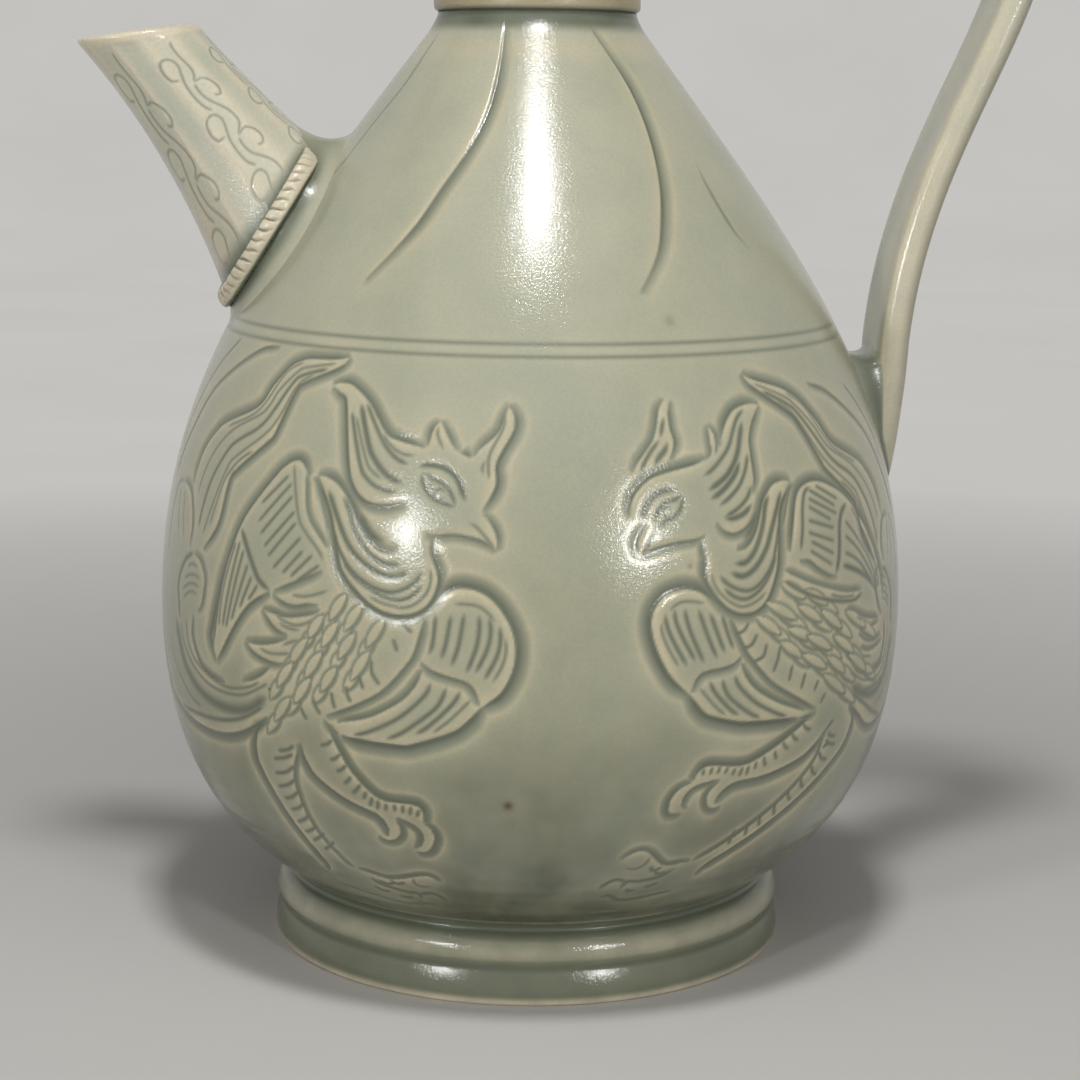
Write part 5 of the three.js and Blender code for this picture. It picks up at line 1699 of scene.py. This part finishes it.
class NodeSheet:
    """Short ways to add nodes to a material and join them."""

    def __init__(self, material):
        material.use_nodes = True
        self.tree = material.node_tree
        self.tree.nodes.clear()

    def add(self, kind, **values):
        """A new node with the properties and the input values given."""
        node = self.tree.nodes.new(kind)
        for key, value in values.items():
            if hasattr(node, key):
                setattr(node, key, value)
            else:
                node.inputs[key.replace("_", " ")].default_value = value
        return node

    def join(self, source, target):
        """A link from an output to an input."""
        self.tree.links.new(source, target)

    def field(self, name):
        """A value that the mesh carries."""
        return self.add("ShaderNodeAttribute", attribute_type="GEOMETRY", attribute_name=name).outputs["Fac"]

    def noise(self, place, scale, detail=2.0, roughness=0.5):
        """Soft noise of a size."""
        node = self.add("ShaderNodeTexNoise", Scale=scale, Detail=detail, Roughness=roughness)
        self.join(place, node.inputs["Vector"])
        return node.outputs["Fac"]

    def ramp(self, value, low, high, low_value=0.0, high_value=1.0):
        """A value spread from one range to another."""
        node = self.add("ShaderNodeMapRange")
        self.join(value, node.inputs["Value"])
        numbers = {"From Min": low, "From Max": high, "To Min": low_value, "To Max": high_value}
        for key, number in numbers.items():
            node.inputs[key].default_value = number
        return node.outputs["Result"]

    def sum(self, operation, first, second):
        """Two values put together; either may be a plain number."""
        node = self.add("ShaderNodeMath", operation=operation)
        for slot, value in enumerate((first, second)):
            if isinstance(value, (int, float)):
                node.inputs[slot].default_value = value
            else:
                self.join(value, node.inputs[slot])
        return node.outputs[0]

    def blend(self, factor, first, second, kind="MIX"):
        """Two colours mixed by a factor; a colour may be an output or plain numbers."""
        node = self.add("ShaderNodeMix", data_type="RGBA", blend_type=kind)
        if isinstance(factor, (int, float)):
            node.inputs[0].default_value = factor
        else:
            self.join(factor, node.inputs[0])
        for slot, value in ((6, first), (7, second)):
            if isinstance(value, bpy.types.NodeSocket):
                self.join(value, node.inputs[slot])
            else:
                node.inputs[slot].default_value = (*value, 1)
        return node.outputs[2]


def glaze_material(name, high, low, cool, pooled, thin, satin, pooled_and_shaded_foot):
    """A celadon glaze: clouded body colour, darker where it pooled, paler where it ran thin over an edge; on
    the body also darker toward the low belly and the foot, partly as painted shade.
    """
    material = bpy.data.materials.new(name)
    n = NodeSheet(material)
    g = settings("ewer_glaze")
    place = n.add("ShaderNodeTexCoord").outputs["Object"]
    pool = n.field("pool")
    ridge = n.field("ridge")
    speck = n.field("speck")
    split = n.add("ShaderNodeSeparateXYZ")
    n.join(place, split.inputs[0])
    cloud = n.noise(place, 38, 3, 0.55)
    haze = n.noise(place, 120, 2, 0.5)
    grain = n.noise(place, 1500, 1, 0.5)
    drift = n.ramp(cloud, 0, 1, -12 * MM, 12 * MM)
    # Lighter toward the shoulder, darker toward the low belly: partly glaze thickness, partly painted shade
    # of the light from above
    climb = n.ramp(n.sum("ADD", split.outputs["Z"], drift), 18 * MM, 150 * MM)
    base = n.blend(climb, low, high)
    # Painted shade toward the foot, partly glaze gathered there: the body darkens to the foot colour below
    # about 62 mm
    if pooled_and_shaded_foot:
        rise = n.sum("ADD", split.outputs["Z"], n.ramp(cloud, 0, 1, -2 * MM, 2 * MM))
        base = n.blend(n.ramp(rise, 12 * MM, 62 * MM, 1, 0), base, g.foot[:])
    base = n.blend(n.ramp(cloud, 0.42, 0.72, 0, 0.55), base, cool)
    base = n.blend(n.ramp(haze, 0.35, 0.7, 0, 0.12), base, thin)
    thin_share = n.sum("MULTIPLY", ridge, n.ramp(haze, 0.25, 0.7, 0.55, 0.95))
    base = n.blend(thin_share, base, thin)
    pool_share = n.sum("MULTIPLY", pool, n.ramp(haze, 0.2, 0.8, 0.82, 0.98))
    base = n.blend(pool_share, base, pooled)
    base = n.blend(n.ramp(grain, 0.3, 0.7, 0, 0.1), base, g.line_spot[:])
    dots = n.add("ShaderNodeTexVoronoi", feature="F1", Scale=170.0, Randomness=1.0)
    n.join(place, dots.inputs["Vector"])
    rare = n.add("ShaderNodeSeparateColor")
    n.join(dots.outputs["Color"], rare.inputs[0])
    chosen = n.sum("GREATER_THAN", rare.outputs[0], 0.985)
    dot = n.sum("MULTIPLY", chosen, n.ramp(dots.outputs["Distance"], 0.03, 0.08, 0.6, 0))
    base = n.blend(n.sum("MAXIMUM", dot, speck), base, g.spot[:])
    shader = n.add("ShaderNodeBsdfPrincipled")
    n.join(base, shader.inputs["Base Color"])
    sheen_break = n.ramp(n.noise(place, 1800, 2, 0.6), 0.3, 0.75, satin - 0.05, satin + 0.08)
    rough = n.sum("ADD", sheen_break, n.sum("MULTIPLY", pool, 0.06))
    rough = n.sum("ADD", rough, n.sum("MULTIPLY", ridge, 0.03))
    n.join(rough, shader.inputs["Roughness"])
    shader.inputs["IOR"].default_value = 1.46
    shader.inputs["Coat Weight"].default_value = 0.18
    shader.inputs["Coat Roughness"].default_value = 0.16
    orange_peel = n.add("ShaderNodeBump", Strength=0.1, Distance=0.00012)
    n.join(n.noise(place, 260, 1, 0.4), orange_peel.inputs["Height"])
    bubbles = n.add("ShaderNodeBump", Strength=0.9, Distance=0.00006)
    n.join(n.noise(place, 2300, 2, 0.6), bubbles.inputs["Height"])
    n.join(orange_peel.outputs["Normal"], bubbles.inputs["Normal"])
    n.join(bubbles.outputs["Normal"], shader.inputs["Normal"])
    out = n.add("ShaderNodeOutputMaterial")
    n.join(shader.outputs[0], out.inputs["Surface"])
    return material


def glaze_for(recipe):
    """The material of one of the recipes, made once."""
    name = recipe + "_celadon"
    if name in bpy.data.materials:
        return bpy.data.materials[name]
    g = settings("ewer_glaze")
    high, low, cool, pooled, thin, lip = (c[:] for c in (g.high, g.low, g.cool, g.pooled, g.thin, g.lip))
    spout, blue, collar, ring = g.spout[:], g.blue[:], g.collar[:], g.ring[:]
    recipes = {
        "body_glaze": (high, low, cool, pooled, thin, 0.12),
        "foot_glaze": (ring, ring, low, pooled, lip, 0.09),
        "thin_glaze": (thin, thin, blue, pooled, lip, 0.2),
        "collar": (collar, collar, cool, pooled, collar, 0.3),
        "spout_glaze": (spout, spout, blue, pooled, lip, 0.14),
        "handle_glaze": (high, high, blue, pooled, lip, 0.13),
    }
    return glaze_material(name, *recipes[recipe], recipe == "body_glaze")


# The stage


def make_floor():
    """A pale floor that rises smoothly into a round backdrop."""
    s = settings("ewer_stage")
    profile = np.vstack([
        [[0.02, 0.0], [0.3, 0.0], [0.8, 0.0], [1.6, 0.0]],
        bow([1.6, 0.0], [2.6, 0.0], [2.6, 1.0], steps=20)[1:],
        [[2.6, 2.4]],
    ])
    points = turned(profile, round_angles(96), middle=0)
    rows, columns = points.shape[:2]
    faces = woven(rows, columns).tolist() + [list(range(columns))]
    mesh = bpy.data.meshes.new("floor")
    mesh.from_pydata(points.reshape(-1, 3).tolist(), [], faces)
    mesh.polygons.foreach_set("use_smooth", np.ones(len(faces), bool))
    material = bpy.data.materials.new("pale_floor")
    n = NodeSheet(material)
    place = n.add("ShaderNodeTexCoord").outputs["Object"]
    pale = s.floor[:]
    tone = n.blend(n.ramp(n.noise(place, 6, 3), 0.3, 0.7), pale, tuple(0.96 * c for c in pale))
    shader = n.add("ShaderNodeBsdfPrincipled")
    n.join(tone, shader.inputs["Base Color"])
    shader.inputs["Roughness"].default_value = 0.85
    shader.inputs["Specular IOR Level"].default_value = 0.15
    glow = n.add("ShaderNodeEmission", Strength=s.backdrop)
    n.join(tone, glow.inputs["Color"])
    away = n.add("ShaderNodeVectorMath", operation="LENGTH")
    n.join(place, away.inputs[0])
    rays = n.add("ShaderNodeLightPath")
    seen = n.sum("MAXIMUM", rays.outputs["Is Camera Ray"], rays.outputs["Is Glossy Ray"])
    seen = n.sum("MAXIMUM", seen, rays.outputs["Is Transmission Ray"])
    far = n.sum("MULTIPLY", seen, n.ramp(away.outputs["Value"], 0.15, 0.6))
    mix = n.add("ShaderNodeMixShader")
    n.join(far, mix.inputs[0])
    n.join(shader.outputs[0], mix.inputs[1])
    n.join(glow.outputs[0], mix.inputs[2])
    out = n.add("ShaderNodeOutputMaterial")
    n.join(mix.outputs[0], out.inputs["Surface"])
    mesh.materials.append(material)
    linked(bpy.data.objects.new("floor", mesh))


def make_lamp(name):
    """A softbox that faces the ewer's belly."""
    s = settings("ewer_stage")
    turn, rise, distance, width, height, power = LAMPS[name]
    turn = math.radians(turn) - s.camera_turn
    rise = math.radians(rise)
    away = Vector((math.sin(turn) * math.cos(rise), -math.cos(turn) * math.cos(rise), math.sin(rise)))
    light = bpy.data.lights.new(name, "AREA")
    light.shape = "RECTANGLE"
    light.size = width
    light.size_y = height
    light.energy = getattr(s, power)
    lamp = linked(bpy.data.objects.new(name, light))
    lamp.location = Vector((AXIS_X, 0, LIT_HEIGHT)) + away * distance
    lamp.rotation_euler = away.to_track_quat("Z", "Y").to_euler()


def make_camera():
    """The camera at the picture's place and angle."""
    s = settings("ewer_stage")
    turn, pitch, roll = s.camera_turn, s.camera_pitch, s.camera_roll
    ahead = Vector((math.sin(turn) * math.cos(pitch), math.cos(turn) * math.cos(pitch), -math.sin(pitch)))
    right = Vector((math.cos(turn), -math.sin(turn), 0))
    up = right.cross(ahead)
    rolled_right = math.cos(roll) * right + math.sin(roll) * up
    rolled_up = -math.sin(roll) * right + math.cos(roll) * up
    data = bpy.data.cameras.new("picture_camera")
    data.sensor_width = 36.0
    data.lens = s.focal_pixels / s.picture_pixels * data.sensor_width
    data.shift_x = s.shift_pixels / s.picture_pixels
    data.clip_start = 0.01
    camera = linked(bpy.data.objects.new("picture_camera", data))
    away = s.camera_distance * Vector((math.sin(turn), math.cos(turn), 0))
    place = Vector((AXIS_X, 0, s.camera_height)) - away
    basis = Matrix((rolled_right, rolled_up, -ahead)).transposed().to_4x4()
    camera.matrix_world = Matrix.Translation(place) @ basis
    bpy.context.scene.camera = camera


def make_sky():
    """An even, pale light from all round."""
    s = settings("ewer_stage")
    world = bpy.data.worlds.new("studio")
    world.use_nodes = True
    background = world.node_tree.nodes["Background"]
    background.inputs["Color"].default_value = (1.0, 1.0, 1.0, 1.0)
    background.inputs["Strength"].default_value = s.sky
    bpy.context.scene.world = world
    bpy.context.scene.view_settings.view_transform = "Standard"


# Operators: one for each piece or group of like pieces, and one for the stage


class EWER_OT_body(Operator):
    """Make the carved body."""

    bl_idname = "ewer.body"
    bl_label = "Body"

    def execute(self, context):
        stand_for(make_body(), "body", "body_glaze")
        return {"FINISHED"}


class EWER_OT_foot(Operator):
    """Make the turned foot ring."""

    bl_idname = "ewer.foot"
    bl_label = "Foot ring"

    def execute(self, context):
        stand_for(make_foot(), "foot_ring", "foot_glaze")
        return {"FINISHED"}


class EWER_OT_neck(Operator):
    """Make the neck with its mouth, and the string ring at its base."""

    bl_idname = "ewer.neck"
    bl_label = "Neck and string ring"

    def execute(self, context):
        stand_for(make_neck(), "neck_and_mouth", "body_glaze")
        stand_for(make_collar(), "neck_collar", "thin_glaze", "collar")
        return {"FINISHED"}


class EWER_OT_spout(Operator):
    """Make the faceted spout and the skirt that joins it to the shoulder."""

    bl_idname = "ewer.spout"
    bl_label = "Spout"

    def execute(self, context):
        stand_for(make_spout(), "spout", "spout_glaze")
        stand_for(make_spout_root(), "spout_root", "pooled_glaze", "body_glaze")
        return {"FINISHED"}


class EWER_OT_rope(Operator):
    """Make the notched rope round the spout's root."""

    bl_idname = "ewer.rope"
    bl_label = "Rope band"

    def execute(self, context):
        stand_for(make_rope(), "spout_rope", "thin_glaze")
        return {"FINISHED"}


class EWER_OT_handle(Operator):
    """Make the strap handle."""

    bl_idname = "ewer.handle"
    bl_label = "Handle"

    def execute(self, context):
        stand_for(make_strap(), "handle_strap", "handle_glaze")
        return {"FINISHED"}


class EWER_OT_handle_roots(Operator):
    """Make the handle's two roots."""

    bl_idname = "ewer.handle_roots"
    bl_label = "Handle roots"

    def execute(self, context):
        stand_for(make_lower_root(), "handle_lower_root", "pooled_glaze", "handle_glaze")
        stand_for(make_upper_root(), "handle_upper_root", "pooled_glaze", "handle_glaze")
        return {"FINISHED"}


class EWER_OT_stage(Operator):
    """Make the floor, the lamps and the camera."""

    bl_idname = "ewer.stage"
    bl_label = "Stage"

    def execute(self, context):
        make_floor()
        make_sky()
        for name in LAMPS:
            make_lamp(name)
        make_camera()
        return {"FINISHED"}


PIECES = (
    EWER_OT_body,
    EWER_OT_foot,
    EWER_OT_neck,
    EWER_OT_spout,
    EWER_OT_rope,
    EWER_OT_handle,
    EWER_OT_handle_roots,
    EWER_OT_stage,
)


class EWER_PT_sidebar(Panel):
    """The ewer's pieces and sizes."""

    bl_idname = "EWER_PT_sidebar"
    bl_label = "Celadon Ewer"
    bl_space_type = "VIEW_3D"
    bl_region_type = "UI"
    bl_category = "Ewer"

    def draw(self, context):
        for piece in PIECES:
            self.layout.operator(piece.bl_idname)
        for name, group in GROUPS.items():
            box = self.layout.box()
            box.label(text=group.__doc__)
            for key in group.__annotations__:
                box.prop(getattr(context.scene, name), key)


def register():
    for group in GROUPS.values():
        bpy.utils.register_class(group)
    for name, group in GROUPS.items():
        setattr(bpy.types.Scene, name, PointerProperty(type=group))
    for piece in PIECES:
        bpy.utils.register_class(piece)
    bpy.utils.register_class(EWER_PT_sidebar)


def unregister():
    bpy.utils.unregister_class(EWER_PT_sidebar)
    for piece in reversed(PIECES):
        bpy.utils.unregister_class(piece)
    for name, group in GROUPS.items():
        delattr(bpy.types.Scene, name)
        bpy.utils.unregister_class(group)


def main():
    """Builds the ewer piece by piece, and then its stage."""
    register()
    bpy.ops.ewer.body()
    bpy.ops.ewer.foot()
    bpy.ops.ewer.neck()
    bpy.ops.ewer.spout()
    bpy.ops.ewer.rope()
    bpy.ops.ewer.handle()
    bpy.ops.ewer.handle_roots()
    bpy.ops.ewer.stage()


if __name__ == "__main__":
    main()
